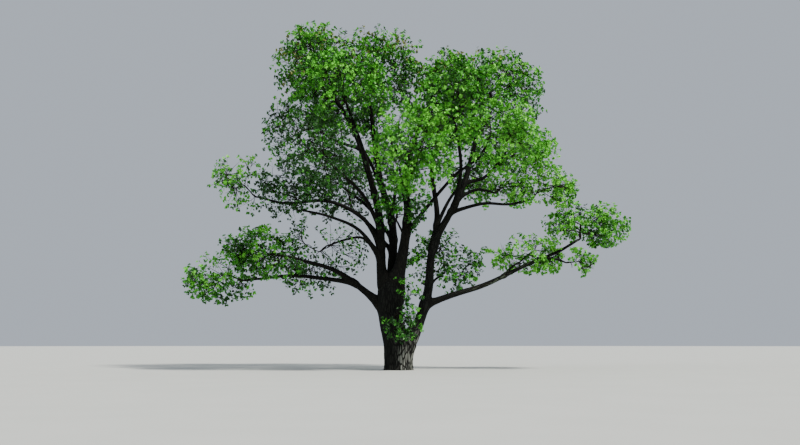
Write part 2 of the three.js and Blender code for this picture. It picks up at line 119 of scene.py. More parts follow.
# Limbs, all in metres
LIMBS = (
    Limb("left_stem", "trunk", 3.9, (0.29, 0.095), "top_left",
         ((-0.92, -0.1, 5.3), (-1.05, -0.2, 8.3), (-1.8, -0.1, 11.3), (-2.6, 0, 13.5), (-3.7, 0, 15.3))),
    Limb("inner_left_stem", "trunk", 4, (0.29, 0.09), "top_middle",
         ((-0.35, 0.45, 5.7), (-0.35, 0.8, 8), (-1.1, 1, 11), (-1.7, 0.7, 15.4))),
    Limb("centre_stem", "trunk", 4, (0.36, 0.09), "top_notch",
         ((0.15, -0.3, 5.9), (0.5, -0.4, 8.6), (0.35, -0.3, 10.6), (1.3, 0, 14))),
    Limb("right_stem", "trunk", 0.9, (0.32, 0.09), "top_right",
         ((0.95, 0, 2.2), (1.6, -0.1, 4.2), (1.95, -0.15, 6.8),
          (3.4, -0.2, 9.6), (4.1, 0, 11.8), (4.7, 0, 14.3))),
    Limb("right_inner_stem", "right_stem", 6.7, (0.18, 0.08), "top_back_right",
         ((2.15, 0.3, 8.6), (1.9, 1.1, 11.4), (2.5, 2.7, 13.5))),
    Limb("front_top_right_bough", "right_stem", 9, (0.12, 0.07), "top_front_right",
         ((3.4, -1.3, 11), (3, -2.5, 13.2))),
    Limb("front_top_left_bough", "left_stem", 9.5, (0.12, 0.07), "top_front_left",
         ((-1.9, -1.4, 11.8), (-2.7, -2.6, 13.9))),
    Limb("back_top_left_bough", "inner_left_stem", 9.3, (0.13, 0.07), "top_back_left",
         ((-1.6, 2.2, 11.8), (-2.8, 3.1, 14))),
    Limb("left_high_bough", "left_stem", 12.2, (0.095, 0.06), "left_shoulder",
         ((-3.5, 0, 12.7), (-4.6, 0.1, 13.4))),
    Limb("right_upper_bough", "right_stem", 10.2, (0.11, 0.06), "right_shoulder",
         ((4.9, 0, 10.7), (6, 0, 12))),
    Limb("front_left_bough", "left_stem", 7.6, (0.13, 0.07), "front_left",
         ((-1.9, -1.9, 9.3), (-3.3, -3.4, 10.5))),
    Limb("front_centre_bough", "centre_stem", 8, (0.13, 0.07), "front_centre",
         ((0.5, -2.2, 9.7), (0.7, -3.8, 10.5))),
    Limb("front_right_bough", "centre_stem", 7.3, (0.12, 0.065), "front_right",
         ((1.4, -1.1, 8.6), (2.9, -2.3, 10.2), (4, -3.3, 10.9))),
    Limb("back_left_bough", "inner_left_stem", 7.2, (0.13, 0.07), "back_left",
         ((-1.7, 2.3, 9.2), (-3.2, 3.7, 10.6))),
    Limb("back_centre_bough", "inner_left_stem", 8.2, (0.13, 0.07), "back_centre",
         ((-0.2, 2.7, 10.2), (0.1, 4.4, 11))),
    Limb("back_right_bough", "right_inner_stem", 7.9, (0.12, 0.07), "back_right",
         ((3, 2.3, 9.8), (3.9, 3.6, 11))),
    Limb("left_long_bough", "left_stem", 6.7, (0.14, 0.055), "far_left",
         ((-2, -0.3, 8.3), (-3.9, -0.5, 9.2), (-6.2, -0.4, 9.1), (-7.8, -0.1, 9.5))),
    Limb("left_arched_bough", "left_stem", 6.1, (0.12, 0.055), "left_lower",
         ((-2.2, -0.7, 7.6), (-3.8, -0.9, 8.3), (-5.3, -0.9, 8.65))),
    Limb("left_back_bough", "inner_left_stem", 6.4, (0.11, 0.06), "left_inner",
         ((-1.5, 1.3, 8), (-2.5, 1.6, 8.9))),
    Limb("front_low_bough", "centre_stem", 6.2, (0.09, 0.05), "front_low",
         ((0.25, -1, 7.2), (-0.05, -1.5, 7.9))),
    Limb("right_middle_bough", "right_stem", 9.4, (0.105, 0.06), "right_lower",
         ((4.4, 0.1, 9.95), (5.3, 0.2, 9.8))),
    Limb("right_far_bough", "right_stem", 8.6, (0.11, 0.055), "far_right",
         ((4.6, -0.9, 9), (6, -1, 8.95), (7.1, -0.9, 9.2))),
    Limb("left_low_bough", "trunk", 3.05, (0.23, 0.08), "low_left_middle",
         ((-2.2, -0.1, 4.55), (-3.6, -0.1, 5.45), (-5.5, -0.5, 6))),
    Limb("left_lowest_bough", "left_low_bough", 4.7, (0.14, 0.055), "low_left_outer",
         ((-3.5, 0.1, 4.9), (-5.8, 0.2, 5.15), (-7.3, 0.1, 5), (-8.3, 0, 4.9))),
    Limb("left_middle_bough", "left_stem", 5.9, (0.1, 0.05), "low_left_inner",
         ((-1.9, 0.3, 7.2), (-2.9, 0.55, 7.2), (-3.9, 0.8, 6.9))),
    Limb("right_low_bough", "right_stem", 3.5, (0.18, 0.065), "low_right_outer",
         ((2.9, 0, 4.05), (4.8, 0, 4.65), (7, 0, 5.7), (8.8, 0, 6.45), (9.9, 0, 7.1))),
    Limb("right_low_upper_bough", "right_low_bough", 5.1, (0.085, 0.05), "low_right_middle",
         ((6.3, 0.3, 5.65), (6.7, 0.6, 5.9))),
    Limb("right_low_side_bough", "right_low_bough", 6.1, (0.07, 0.045), "low_right_lower",
         ((8.6, -0.5, 6), (9, -0.9, 5.8))),
    Limb("right_stem_spur", "right_stem", 4.5, (0.08, 0.045), "stem_spray",
         ((2.05, 0.35, 4.95), (2.5, 0.9, 5.3))),
)

# Rows: name, middle, half widths, fullness, leafiness, painted light (painted shade below 0), and for one the
# height where it leaves the trunk
MASSES = (
    Mass("top_left", (-4.3, 0, 16.8), (3, 2.9, 3)),
    Mass("top_middle", (-1.1, 0.3, 16.55), (3, 2.7, 2.95)),
    Mass("top_notch", (2.7, 0.1, 15.8), (2.2, 2.6, 2.3), 1, 1, 0.15),
    Mass("top_right", (4.85, 0, 14.8), (3.8, 3, 3.3)),
    Mass("top_front_left", (-3, -3.6, 14.5), (2.9, 2.5, 2.4), 1, 1, 0.15),
    Mass("top_front_right", (3.3, -3.4, 14.1), (2.9, 2.5, 2.4), 0.75),
    Mass("top_back_left", (-3.2, 3.8, 15.2), (2.9, 2.5, 2.4), 0.8),
    Mass("top_back_right", (3.1, 3.8, 14.6), (2.9, 2.5, 2.4), 0.8),
    Mass("left_shoulder", (-5.6, 0, 13.3), (2.3, 2.8, 2.3), 0.6, 0.4, -0.15),
    Mass("right_shoulder", (6.7, 0, 11.9), (2.3, 2.9, 1.9), 0.7, 1, 0.9),
    Mass("front_left", (-4, -4.6, 11.3), (2.6, 2.4, 2.3), 0.5, 0.55, -0.45),
    Mass("front_centre", (1.1, -5.1, 11.3), (2.8, 2.5, 2.6), 0.8, 1, 0.7),
    Mass("front_right", (4.9, -4.5, 12.1), (2.5, 2.4, 2.3), 0.55, 1, 0.7),
    Mass("back_left", (-4, 4.9, 11.8), (2.6, 2.4, 2.3), 0.6, 0.6),
    Mass("back_centre", (0.1, 5.8, 12.7), (2.7, 2.3, 2.5), 0.5),
    Mass("back_right", (4.4, 4.8, 12.3), (2.6, 2.4, 2.3), 0.55),
    Mass("far_left", (-8.7, -0.1, 10.2), (1.8, 1.9, 1.8), 0.7, 0.6, 0.75),
    Mass("left_lower", (-5.8, -0.6, 10), (2.4, 2.7, 2), 0.8, 0.6, -0.3),
    Mass("left_inner", (-3, 1.7, 10.1), (2.2, 2.6, 2), 0.6, 0.6, -0.4),
    Mass("front_low", (-0.1, -2, 8.9), (1.9, 1.7, 1.7), 0.65, 1, 0.1),
    Mass("right_lower", (5.9, 0.5, 10.1), (2.5, 2.8, 1.2), 0.6, 0.7, 0.8),
    Mass("far_right", (7.9, -0.5, 9.9), (2, 2, 1.6), 0.75, 1, 1.1),
    Mass("low_left_outer", (-9.75, -0.3, 5.2), (2.4, 2, 1.65), 0.85, 0.85, 0.85),
    Mass("low_left_middle", (-7.5, -0.7, 6.35), (3.75, 2.3, 1.45), 1, 1, 0.55),
    Mass("low_left_inner", (-4.7, 1, 6.4), (3, 2, 2.4), 0.8, 0.4, 0.1),
    Mass("low_right_outer", (10.2, 0.1, 8), (2.75, 2.1, 1.5), 1, 1, 0.55),
    Mass("low_right_middle", (7.3, 0.5, 6.4), (2.6, 2, 1.2), 1, 0.9, 1),
    Mass("low_right_lower", (9.7, -0.9, 5.8), (1.25, 1.2, 0.8), 0.8, 0.8, 0.8),
    Mass("stem_spray", (2.6, 1.2, 6.2), (2.4, 1.7, 2.1), 0.8, 0.8, 0.3),
    Mass("trunk_spray", (0.1, -1.6, 3.2), (1.4, 0.85, 1.9), 0.9, 0.7, 0.1, 2.7),
)

# Height, middle and half widths of the trunk
TRUNK_SECTIONS = (
    (0, -0.04, 0, 0.8, 0.83),
    (0.35, -0.03, 0, 0.775, 0.78),
    (0.9, -0.01, 0, 0.79, 0.77),
    (1.5, -0.01, 0, 0.83, 0.78),
    (2.2, -0.3, 0, 0.68, 0.73),
    (3, -0.44, 0, 0.66, 0.7),
    (3.8, -0.42, 0, 0.69, 0.69),
    (4.4, -0.38, 0, 0.62, 0.62),
    (4.85, -0.36, 0, 0.42, 0.42),
    (5.05, -0.36, 0, 0.17, 0.17),
)

# A leaf's outline across, along and above its base, and its faces on both sides of the midrib
BLADE = np.array([[0, 0, 0], [0.43, 0.2, 0.13], [0.33, 0.62, 0.1], [0, 1.0, -0.1],
                  [-0.33, 0.62, 0.1], [-0.43, 0.2, 0.13]])
BLADE_FACES = np.array([[0, 1, 2], [0, 2, 3], [0, 3, 4], [0, 4, 5]])


# Helpers on whole arrays


def unit(vectors: Array) -> Array:
    """Vectors divided by their lengths, along the last axis."""
    return vectors / np.maximum(np.linalg.norm(vectors, axis=-1, keepdims=True), 1e-9)


def scatter(index: int, base: int) -> float:
    """An evenly scattered share: the digits of the index in that base, mirrored at the point.

    Args:
        index: the number of the twig.
        base: a small prime.

    Returns:
        A share from 0 to 1.
    """
    value, share = 0.0, 1.0
    while index > 0:
        share /= base
        value += share * (index % base)
        index //= base
    return value


def direction(index: int) -> Array:
    """An evenly scattered unit vector: its height from the index in base 2, its turn from base 3.

    Args:
        index: the number of the twig.

    Returns:
        The vector.
    """
    up = 1 - 2 * scatter(index, 2)
    turn = 2 * math.pi * scatter(index, 3)
    level = math.sqrt(1 - up * up)
    return np.array([level * math.cos(turn), level * math.sin(turn), up])


def sideways(heading: Array, turn: float) -> Array:
    """A unit vector square to a heading, turned round it from the level one.

    Args:
        heading: a unit vector.
        turn: the angle in radians.

    Returns:
        The vector.
    """
    square = np.cross(UP, heading)
    if np.linalg.norm(square) < UPRIGHT:
        square = np.array([1.0, 0.0, 0.0])
    square = unit(square)
    return square * math.cos(turn) + np.cross(heading, square) * math.sin(turn)


def lattice_noise(places: Array) -> Array:
    """Smooth noise from -1 to 1.

    Each corner of a unit lattice has a value hashed from its place, and a point takes the blend of its
    eight corners with weights 3f squared - 2f cubed, where f is how far it lies across its cell.

    Args:
        places: points, with x, y and z along the last axis.

    Returns:
        One value for each point.
    """
    cell = np.floor(places)
    share = places - cell
    share = share * share * (3 - 2 * share)
    total = np.zeros(places.shape[:-1])
    for corner in np.ndindex(2, 2, 2):
        step = np.array(corner)
        hashed = np.sin((cell + step) @ HASH_STEPS) * HASH_SCALE
        weight = np.where(step == 1, share, 1 - share).prod(axis=-1)
        total += weight * (hashed - np.floor(hashed))
    return 2 * total - 1


def of_masses(value: str, numbers: Array) -> Array:
    """One value of the mass that each number stands for."""
    return np.array([getattr(mass, value) for mass in MASSES])[numbers]


def in_frame(points: Array, slack: float) -> Array:
    """Says which points lie in the frame's box, made wider on each side by a share of its size."""
    room = slack * (CAD_BOX[1] - CAD_BOX[0])
    return np.all((points > CAD_BOX[0] - room) & (points < CAD_BOX[1] + room), axis=-1)


@dataclass
class Line:
    """A smooth line through points, looked up by the share of its length.

    Between two points it is the uniform Catmull-Rom cubic, with the end points mirrored beyond the ends.
    """

    controls: Array
    samples: int = 200
    step: float = 0.004  # share of the length to either side of a place that gives its heading

    def __post_init__(self) -> None:
        """Samples the cubic and adds up its length."""
        c = np.asarray(self.controls, float)
        padded = np.vstack([2 * c[0] - c[1], c, 2 * c[-1] - c[-2]])
        place = np.linspace(0, len(c) - 1, self.samples + 1)
        span = np.minimum(place.astype(int), len(c) - 2)
        w = (place - span)[:, None]
        p0, p1, p2, p3 = (padded[span + i] for i in range(4))
        cubic = 2 * p1 + (p2 - p0) * w + (2 * p0 - 5 * p1 + 4 * p2 - p3) * w**2
        self.points = 0.5 * (cubic + (3 * p1 - p0 - 3 * p2 + p3) * w**3)
        steps = np.linalg.norm(np.diff(self.points, axis=0), axis=1)
        self.reach = np.concatenate([[0.0], np.cumsum(steps)])
        self.length = float(self.reach[-1])

    def at(self, share: Array | float) -> Array:
        """Points at shares of the length."""
        along = np.asarray(share, float) * self.length
        return np.stack([np.interp(along, self.reach, axis) for axis in self.points.T], axis=-1)

    def heading(self, share: float) -> Array:
        """Unit vector along the line at a share of its length."""
        return unit(self.at(min(share + self.step, 1.0)) - self.at(max(share - self.step, 0.0)))


def frames_along(paths: Array) -> tuple[Array, Array]:
    """Two directions square to each path, carried along it without twist.

    Each ring keeps the last ring's direction, less its part along the path there.

    Args:
        paths: points, of shape (paths, rings, 3).

    Returns:
        The two directions at each point, both of the same shape as the paths.
    """
    tangents = unit(np.gradient(paths, axis=1))
    least = np.eye(3)[np.abs(tangents[:, 0]).argmin(axis=1)]
    normals = np.empty_like(paths)
    normal = np.cross(tangents[:, 0], least)
    for ring in range(paths.shape[1]):
        tangent = tangents[:, ring]
        normal = unit(normal - (normal * tangent).sum(axis=1, keepdims=True) * tangent)
        normals[:, ring] = normal
    return normals, np.cross(tangents, normals)


def tube_faces(count: int, rings: int, sides: int) -> list[Array]:
    """Faces of closed tubes whose points are numbered by tube, ring and side, with a tip point for each.

    Side faces join neighbouring rings, a flat face closes the first ring, and a fan runs to the tip.

    Args:
        count: how many tubes.
        rings: rings in each.
        sides: points in each ring.

    Returns:
        Arrays of faces, one row of point numbers for each face.
    """
    ring = np.arange(count * rings * sides).reshape(count, rings, sides)
    after = np.roll(ring, -1, axis=2)
    quads = np.stack([ring[:, :-1], after[:, :-1], after[:, 1:], ring[:, 1:]], axis=-1).reshape(-1, 4)
    tips = count * rings * sides + np.arange(count)
    fans = np.stack([ring[:, -1], after[:, -1], np.repeat(tips[:, None], sides, axis=1)], axis=-1)
    return [quads, fans.reshape(-1, 3), ring[:, 0, ::-1]]


def twig_tubes(paths: Array, radii: Array, sides: int) -> tuple[Array, list[Array]]:
    """Round twigs that end in a point.

    A ring's point is the path's point + radius x (cos a x normal + sin a x binormal), for even angles a.

    Args:
        paths: points, of shape (twigs, rings + 1, 3); the last one is the twig's tip.
        radii: the radius at each ring, of shape (twigs, rings).
        sides: points in each ring.

    Returns:
        Points, and arrays of faces.
    """
    normals, binormals = frames_along(paths)
    angle = 2 * np.pi * np.arange(sides) / sides
    round_x = np.cos(angle)[:, None] * normals[:, :-1, None]
    round_y = np.sin(angle)[:, None] * binormals[:, :-1, None]
    rings = paths[:, :-1, None] + radii[:, :, None, None] * (round_x + round_y)
    points = np.concatenate([rings.reshape(-1, 3), paths[:, -1]])
    return points, tube_faces(len(paths), paths.shape[1] - 1, sides)


def mesh_piece(
    name: str, points: Array, faces: list[Array], smooth: bool = True
) -> Object:
    """A mesh object in the scene, from arrays.

    Args:
        name: the piece's name.
        points: its points in metres, of shape (points, 3).
        faces: arrays of faces, each one row of point numbers for a face.
        smooth: whether its faces are shaded as one round surface.

    Returns:
        The object, at the origin.
    """
    mesh = bpy.data.meshes.new(name)
    totals = np.concatenate([np.full(len(part), part.shape[1]) for part in faces])
    corners = np.concatenate([part.ravel() for part in faces])
    mesh.vertices.add(len(points))
    mesh.vertices.foreach_set("co", np.ascontiguousarray(points, np.float32).ravel())
    mesh.loops.add(len(corners))
    mesh.loops.foreach_set("vertex_index", corners.astype(np.int32))
    mesh.polygons.add(len(totals))
    mesh.polygons.foreach_set("loop_start", np.concatenate([[0], np.cumsum(totals)[:-1]]).astype(np.int32))
    mesh.polygons.foreach_set("use_smooth", np.full(len(totals), smooth))
    mesh.update(calc_edges=True)
    mesh.validate()
    piece = bpy.data.objects.new(name, mesh)
    bpy.context.scene.collection.objects.link(piece)
    return piece


def bark_piece(name: str, surface: Array, laid_out: Array, ends: tuple[Array, Array]) -> Object:
    """The skin of a limb, which keeps with each of its points the place in the bark's pattern.

    Args:
        name: the piece's name.
        surface: its points, of shape (rings, sides, 3).
        laid_out: the same points with the limb laid out straight.
        ends: the point that closes its tip, on the surface and laid out.

    Returns:
        The piece.
    """
    points, places = (np.vstack([grid.reshape(-1, 3), end]) for grid, end in zip((surface, laid_out), ends))
    piece = mesh_piece(name, points, tube_faces(1, *surface.shape[:2]))
    attribute = piece.data.attributes.new("laid_out", "FLOAT_VECTOR", "POINT")
    attribute.data.foreach_set("vector", places.astype(np.float32).ravel())
    return piece


def settle(piece: Object, finish: Material, nodes: list[str]) -> None:
    """Gives a piece its material and slot and lets it ride on the tree and stand for its nodes.

    Args:
        piece: the piece.
        finish: its material.
        nodes: the solids that it replaces.
    """
    piece.data.materials.append(finish)
    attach(piece, "root")
    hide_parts(*nodes)
    triangles = sum(len(face.vertices) - 2 for face in piece.data.polygons)
    log.info("%s: %d triangles, stands for %d nodes", piece.name, triangles, len(nodes))


# Finishes


class Shading:
    """A node tree that is being put together."""

    def __init__(self, tree: NodeTree) -> None:
        """Keeps the tree."""
        self.tree = tree

    def feed(self, node: bpy.types.Node, inputs: dict) -> bpy.types.Node:
        """Gives each input of a node a value, or another node's output.

        Args:
            node: the node.
            inputs: what each input gets, by name or number.

        Returns:
            The node.
        """
        for name, value in inputs.items():
            if isinstance(value, NodeSocket):
                self.tree.links.new(value, node.inputs[name])
            else:
                node.inputs[name].default_value = value
        return node

    def node(self, kind: str, inputs: dict | None = None, **settings: object) -> bpy.types.Node:
        """Adds a node.

        Args:
            kind: Blender's name for the node.
            inputs: what its inputs get.
            settings: values for the node's own settings.

        Returns:
            The node.
        """
        made = self.tree.nodes.new(kind)
        for name, value in settings.items():
            setattr(made, name, value)
        return self.feed(made, inputs or {})

    def maths(self, operation: str, first: object, second: object = 0.0) -> NodeSocket:
        """The result of a sum on two values or outputs."""
        return self.node("ShaderNodeMath", {0: first, 1: second}, operation=operation).outputs[0]

    def blend(self, share: object, low: object, high: object) -> NodeSocket:
        """A colour between two, by a share."""
        return self.node("ShaderNodeMix", {0: share, 6: low, 7: high}, data_type="RGBA").outputs[2]

    def span(self, value: object, low: float, high: float) -> NodeSocket:
        """A value's place between two limits, smoothed and kept from 0 to 1."""
        inputs = {"Value": value, "From Min": low, "From Max": high}
        return self.node("ShaderNodeMapRange", inputs, interpolation_type="SMOOTHSTEP").outputs["Result"]


def new_material(name: str) -> tuple[Material, Shading, bpy.types.Node]:
    """Adds a material.

    Args:
        name: its name.

    Returns:
        The material, its node tree and its surface node.
    """
    made = bpy.data.materials.new(name)
    made.use_nodes = True
    return made, Shading(made.node_tree), made.node_tree.nodes["Principled BSDF"]


@dataclass(frozen=True)
class BarkPattern:
    """Furrows along the limb, plates between them, and painted sunlight in pale blotches on the plates.

    A span is the two limits between which a value goes smoothly from 0 to 1.
    """

    squeeze: Triple = (1.0, 1.0, 0.22)
    grain_scale: float = 2.4  # against the scale of the furrows
    blotch_scale: float = 3.2
    plate_span: Pair = (0.02, 0.28)
    plate_base: float = 0.35
    ridge_span: Pair = (0.08, 0.75)
    dust_span: Pair = (0.25, 0.75)
    dust_share: float = 0.45
    # painted sunlight: the blotches and the raised plates where it shows
    sunlit_blotch_span: Pair = (0.38, 0.7)
    sunlit_plate_span: Pair = (0.05, 0.5)
    rough: Pair = (0.18, 0.76)  # by the grain, and at least

    def group(self) -> NodeTree:
        """Makes the shader group of every bark.

        Its Place input is a point of the limb laid out straight, in metres, and its Patch input says where
        painted sunlight may lie. It puts out a colour, a roughness and a height.

        Returns:
            The node group.
        """
        group = bpy.data.node_groups.new("bark_surface", "ShaderNodeTree")
        # Two of the inputs carry the painted sunlight: its pale colour and where it lies
        inputs = {"Place": "Vector", "Ridge Colour": "Color", "Furrow Colour": "Color",
                  "Patch Colour": "Color", "Furrow Scale": "Float", "Patch": "Float"}
        outputs = {"Colour": "Color", "Roughness": "Float", "Height": "Float"}
        for way, sockets in (("INPUT", inputs), ("OUTPUT", outputs)):
            for name, kind in sockets.items():
                group.interface.new_socket(name, in_out=way, socket_type=f"NodeSocket{kind}")
        s = Shading(group)
        given = s.node("NodeGroupInput").outputs
        ridge, scale = given["Ridge Colour"], given["Furrow Scale"]
        place = s.node("ShaderNodeVectorMath", {0: given["Place"], 1: self.squeeze},
                       operation="MULTIPLY").outputs[0]
        cracks = s.node("ShaderNodeTexVoronoi", {"Vector": place, "Scale": scale},
                        feature="DISTANCE_TO_EDGE").outputs["Distance"]
        fine = {"Vector": place, "Scale": s.maths("MULTIPLY", scale, self.grain_scale),
                "Detail": 5.0, "Roughness": 0.62, "Distortion": 0.6}
        grain = s.node("ShaderNodeTexNoise", fine).outputs["Fac"]
        broad = {"Vector": place, "Scale": self.blotch_scale, "Detail": 6.0}
        blotches = s.node("ShaderNodeTexNoise", broad).outputs["Fac"]
        plates = s.span(cracks, *self.plate_span)
        height = s.maths("MULTIPLY", plates, s.maths("ADD", grain, self.plate_base))
        bark = s.blend(s.span(height, *self.ridge_span), given["Furrow Colour"], ridge)
        dust = s.maths("MULTIPLY", s.span(blotches, *self.dust_span), self.dust_share)
        # Painted sunlight: a pale colour in blotches on the raised plates, where the given share allows
        sunlit_share = s.maths("MULTIPLY", s.span(blotches, *self.sunlit_blotch_span), given["Patch"])
        sunlit_plates = s.maths("MULTIPLY", sunlit_share, s.span(height, *self.sunlit_plate_span))
        colour = s.blend(sunlit_plates, s.blend(dust, bark, ridge), given["Patch Colour"])
        rough = s.maths("ADD", s.maths("MULTIPLY", grain, self.rough[0]), self.rough[1])
        s.node("NodeGroupOutput", {"Colour": colour, "Roughness": rough, "Height": height})
        return group


@dataclass(frozen=True)
class BarkFinish:
    """Bark on stems, boughs or twigs.

    Painted sunlight, in pale patches, fades in below painted_sun_top and across painted_sun_side towards the
    key light, and there is none where painted_sun_top is 0.
    """

    name: str
    ridge: Colour
    furrow: Colour
    patch: Colour
    furrow_scale: float
    relief: float
    painted_sun_top: float = 0.0
    painted_sun_fade: float = 2.2
    painted_sun_side: Pair = (0.0, 1.0)
    bump: float = 0.9
    shine: float = 0.12
    follows_limb: bool = True

    def material(self, group: NodeTree) -> Material:
        """Makes the material. Its pattern reads the limb laid out straight, or else Object coordinates.

        Args:
            group: the bark group.

        Returns:
            The material.
        """
        made, s, skin = new_material(self.name)
        place = where = s.node("ShaderNodeTexCoord").outputs["Object"]
        if self.follows_limb:
            place = s.node("ShaderNodeAttribute", attribute_name="laid_out").outputs["Vector"]
        # Painted sunlight on the lower part of the limb, on the side towards the key light
        sunlit_share = 0.0
        if self.painted_sun_top > 0:
            parts = s.node("ShaderNodeSeparateXYZ", {0: where}).outputs
            low = s.span(parts["Z"], self.painted_sun_top, self.painted_sun_top - self.painted_sun_fade)
            sunlit_share = s.maths("MULTIPLY", low, s.span(parts["X"], *self.painted_sun_side))
        given = {"Place": place, "Ridge Colour": self.ridge, "Furrow Colour": self.furrow,
                 "Patch Colour": self.patch, "Furrow Scale": self.furrow_scale, "Patch": sunlit_share}
        bark = s.node("ShaderNodeGroup", given, node_tree=group).outputs
        raised = {"Height": bark["Height"], "Distance": self.relief, "Strength": self.bump}
        s.feed(skin, {"Base Color": bark["Colour"], "Roughness": bark["Roughness"],
                      "Normal": s.node("ShaderNodeBump", raised).outputs["Normal"],
                      "Specular IOR Level": self.shine})
        return made


class Bark(Enum):
    """The barks, from the foot of the tree to its twigs."""

    # Colours of the ridges, the furrows and the painted sunlight, then the furrow scale and the relief
    TRUNK = BarkFinish("trunk_bark", (0.010, 0.011, 0.009, 1), (0.002, 0.002, 0.002, 1),
                       (0.25, 0.26, 0.23, 1), 9.0, 0.03, painted_sun_top=2.8, painted_sun_side=(-0.5, 0.35))
    BOUGH = BarkFinish("bough_bark", (0.008, 0.008, 0.006, 1), (0.002, 0.002, 0.002, 1),
                       (0.1, 0.125, 0.085, 1), 14.0, 0.015, painted_sun_top=8.5, painted_sun_side=(2.5, 6.0))
    TWIG = BarkFinish("twig_bark", (0.018, 0.016, 0.011, 1), (0.005, 0.004, 0.003, 1),
                      (0.1, 0.1, 0.08, 1), 30.0, 0.004, follows_limb=False)


@dataclass(frozen=True)
class LeafFinish:
    """The plain satin colour of the leaves of one tint."""

    name: str
    colour: Colour
    roughness: float = 0.5
    shine: float = 0.35

    def material(self) -> Material:
        """Makes the material.

        Returns:
            The material.
        """
        made, s, skin = new_material(self.name)
        s.feed(skin, {"Base Color": self.colour, "Roughness": self.roughness,
                      "Specular IOR Level": self.shine})
        return made


class LeafTint(Enum):
    """Leaf colours, lit and shaded copies of one green, from painted shade inside the crown to painted full
    sun on the outer tips, and the few bronze ones.
    """

    SHADE = LeafFinish("leaf_shade", (0.007, 0.055, 0.003, 1))
    DEEP = LeafFinish("leaf_deep", (0.018, 0.125, 0.007, 1))
    GREEN = LeafFinish("leaf_green", (0.050, 0.275, 0.016, 1))
    SUNLIT = LeafFinish("leaf_sunlit", (0.105, 0.445, 0.028, 1))
    YOUNG = LeafFinish("leaf_young", (0.175, 0.560, 0.055, 1))
    BRONZE = LeafFinish("leaf_bronze", (0.160, 0.190, 0.035, 1))


# The tree's own parts

RIDGE_SQUEEZE, BEND_SQUEEZE = np.array([1, 1, 0.2]), np.array([1, 1, 0.6])
BEND, BEND_SIZE = 0.8, 4  # shares of the distance between ridges
FINER, FINE_SHIFT = 2.3, 17.0  # how much closer the small ridges stand, and where their noise starts
COARSE_SHARE, FINE_SHARE, RIDGE_MEAN = 0.75, 0.3, 0.3
SWELL, SWELL_REACH = 0.3, 0.5  # shares of the radius


def bark_relief(laid_out: Array, furrow: float, depth: float) -> Array:
    """How far the bark stands out: ridges 1 - 2|noise| along the limb, in two sizes, minus their mean.

    The ridges are five times as long as wide, and a slower noise bends them.

    Args:
        laid_out: points of the limb laid out straight, its length along z.
        furrow: the distance between ridges.
        depth: from the bottom of a furrow to its ridge.

    Returns:
        A height in metres for each point.
    """
    place = laid_out * RIDGE_SQUEEZE / furrow
    bend = BEND * lattice_noise(laid_out * BEND_SQUEEZE / (BEND_SIZE * furrow))
    coarse = 1 - 2 * np.abs(lattice_noise(place + bend[..., None]))
    fine = 1 - 2 * np.abs(lattice_noise(place * FINER + FINE_SHIFT))
    return depth * 0.5 * (COARSE_SHARE * coarse + FINE_SHARE * fine - RIDGE_MEAN)


def swelling(surface: Array, radius: float, others: list[Axis]) -> Array:
    """How far a limb swells towards others where they meet, so that no hard edge lies between them.

    Near another limb of radius r it is 0.3 x the smaller radius x exp(-(d / 0.5 r) squared), where d is the
    distance to that limb's surface.

    Args:
        surface: points, of shape (rings, sides, 3).
        radius: the limb's own radius.
        others: the middle line and radii of each neighbour.

    Returns:
        A height in metres for each point.
    """
    flat = surface.reshape(-1, 3)
    lift = np.zeros(len(flat))
    for middles, radii in others:
        reach = 2 * radii.max()
        near = np.all((flat > middles.min(axis=0) - reach) & (flat < middles.max(axis=0) + reach), axis=1)
        if near.any():
            gaps = np.linalg.norm(flat[near][:, None] - middles, axis=2) - radii
            closest = gaps.argmin(axis=1)
            gap = np.maximum(gaps[np.arange(len(closest)), closest], 0)
            other = radii[closest]
            amount = SWELL * np.minimum(radius, other) * np.exp(-((gap / (SWELL_REACH * other)) ** 2))
            lift[near] = np.maximum(lift[near], amount)
    return lift.reshape(surface.shape[:2])


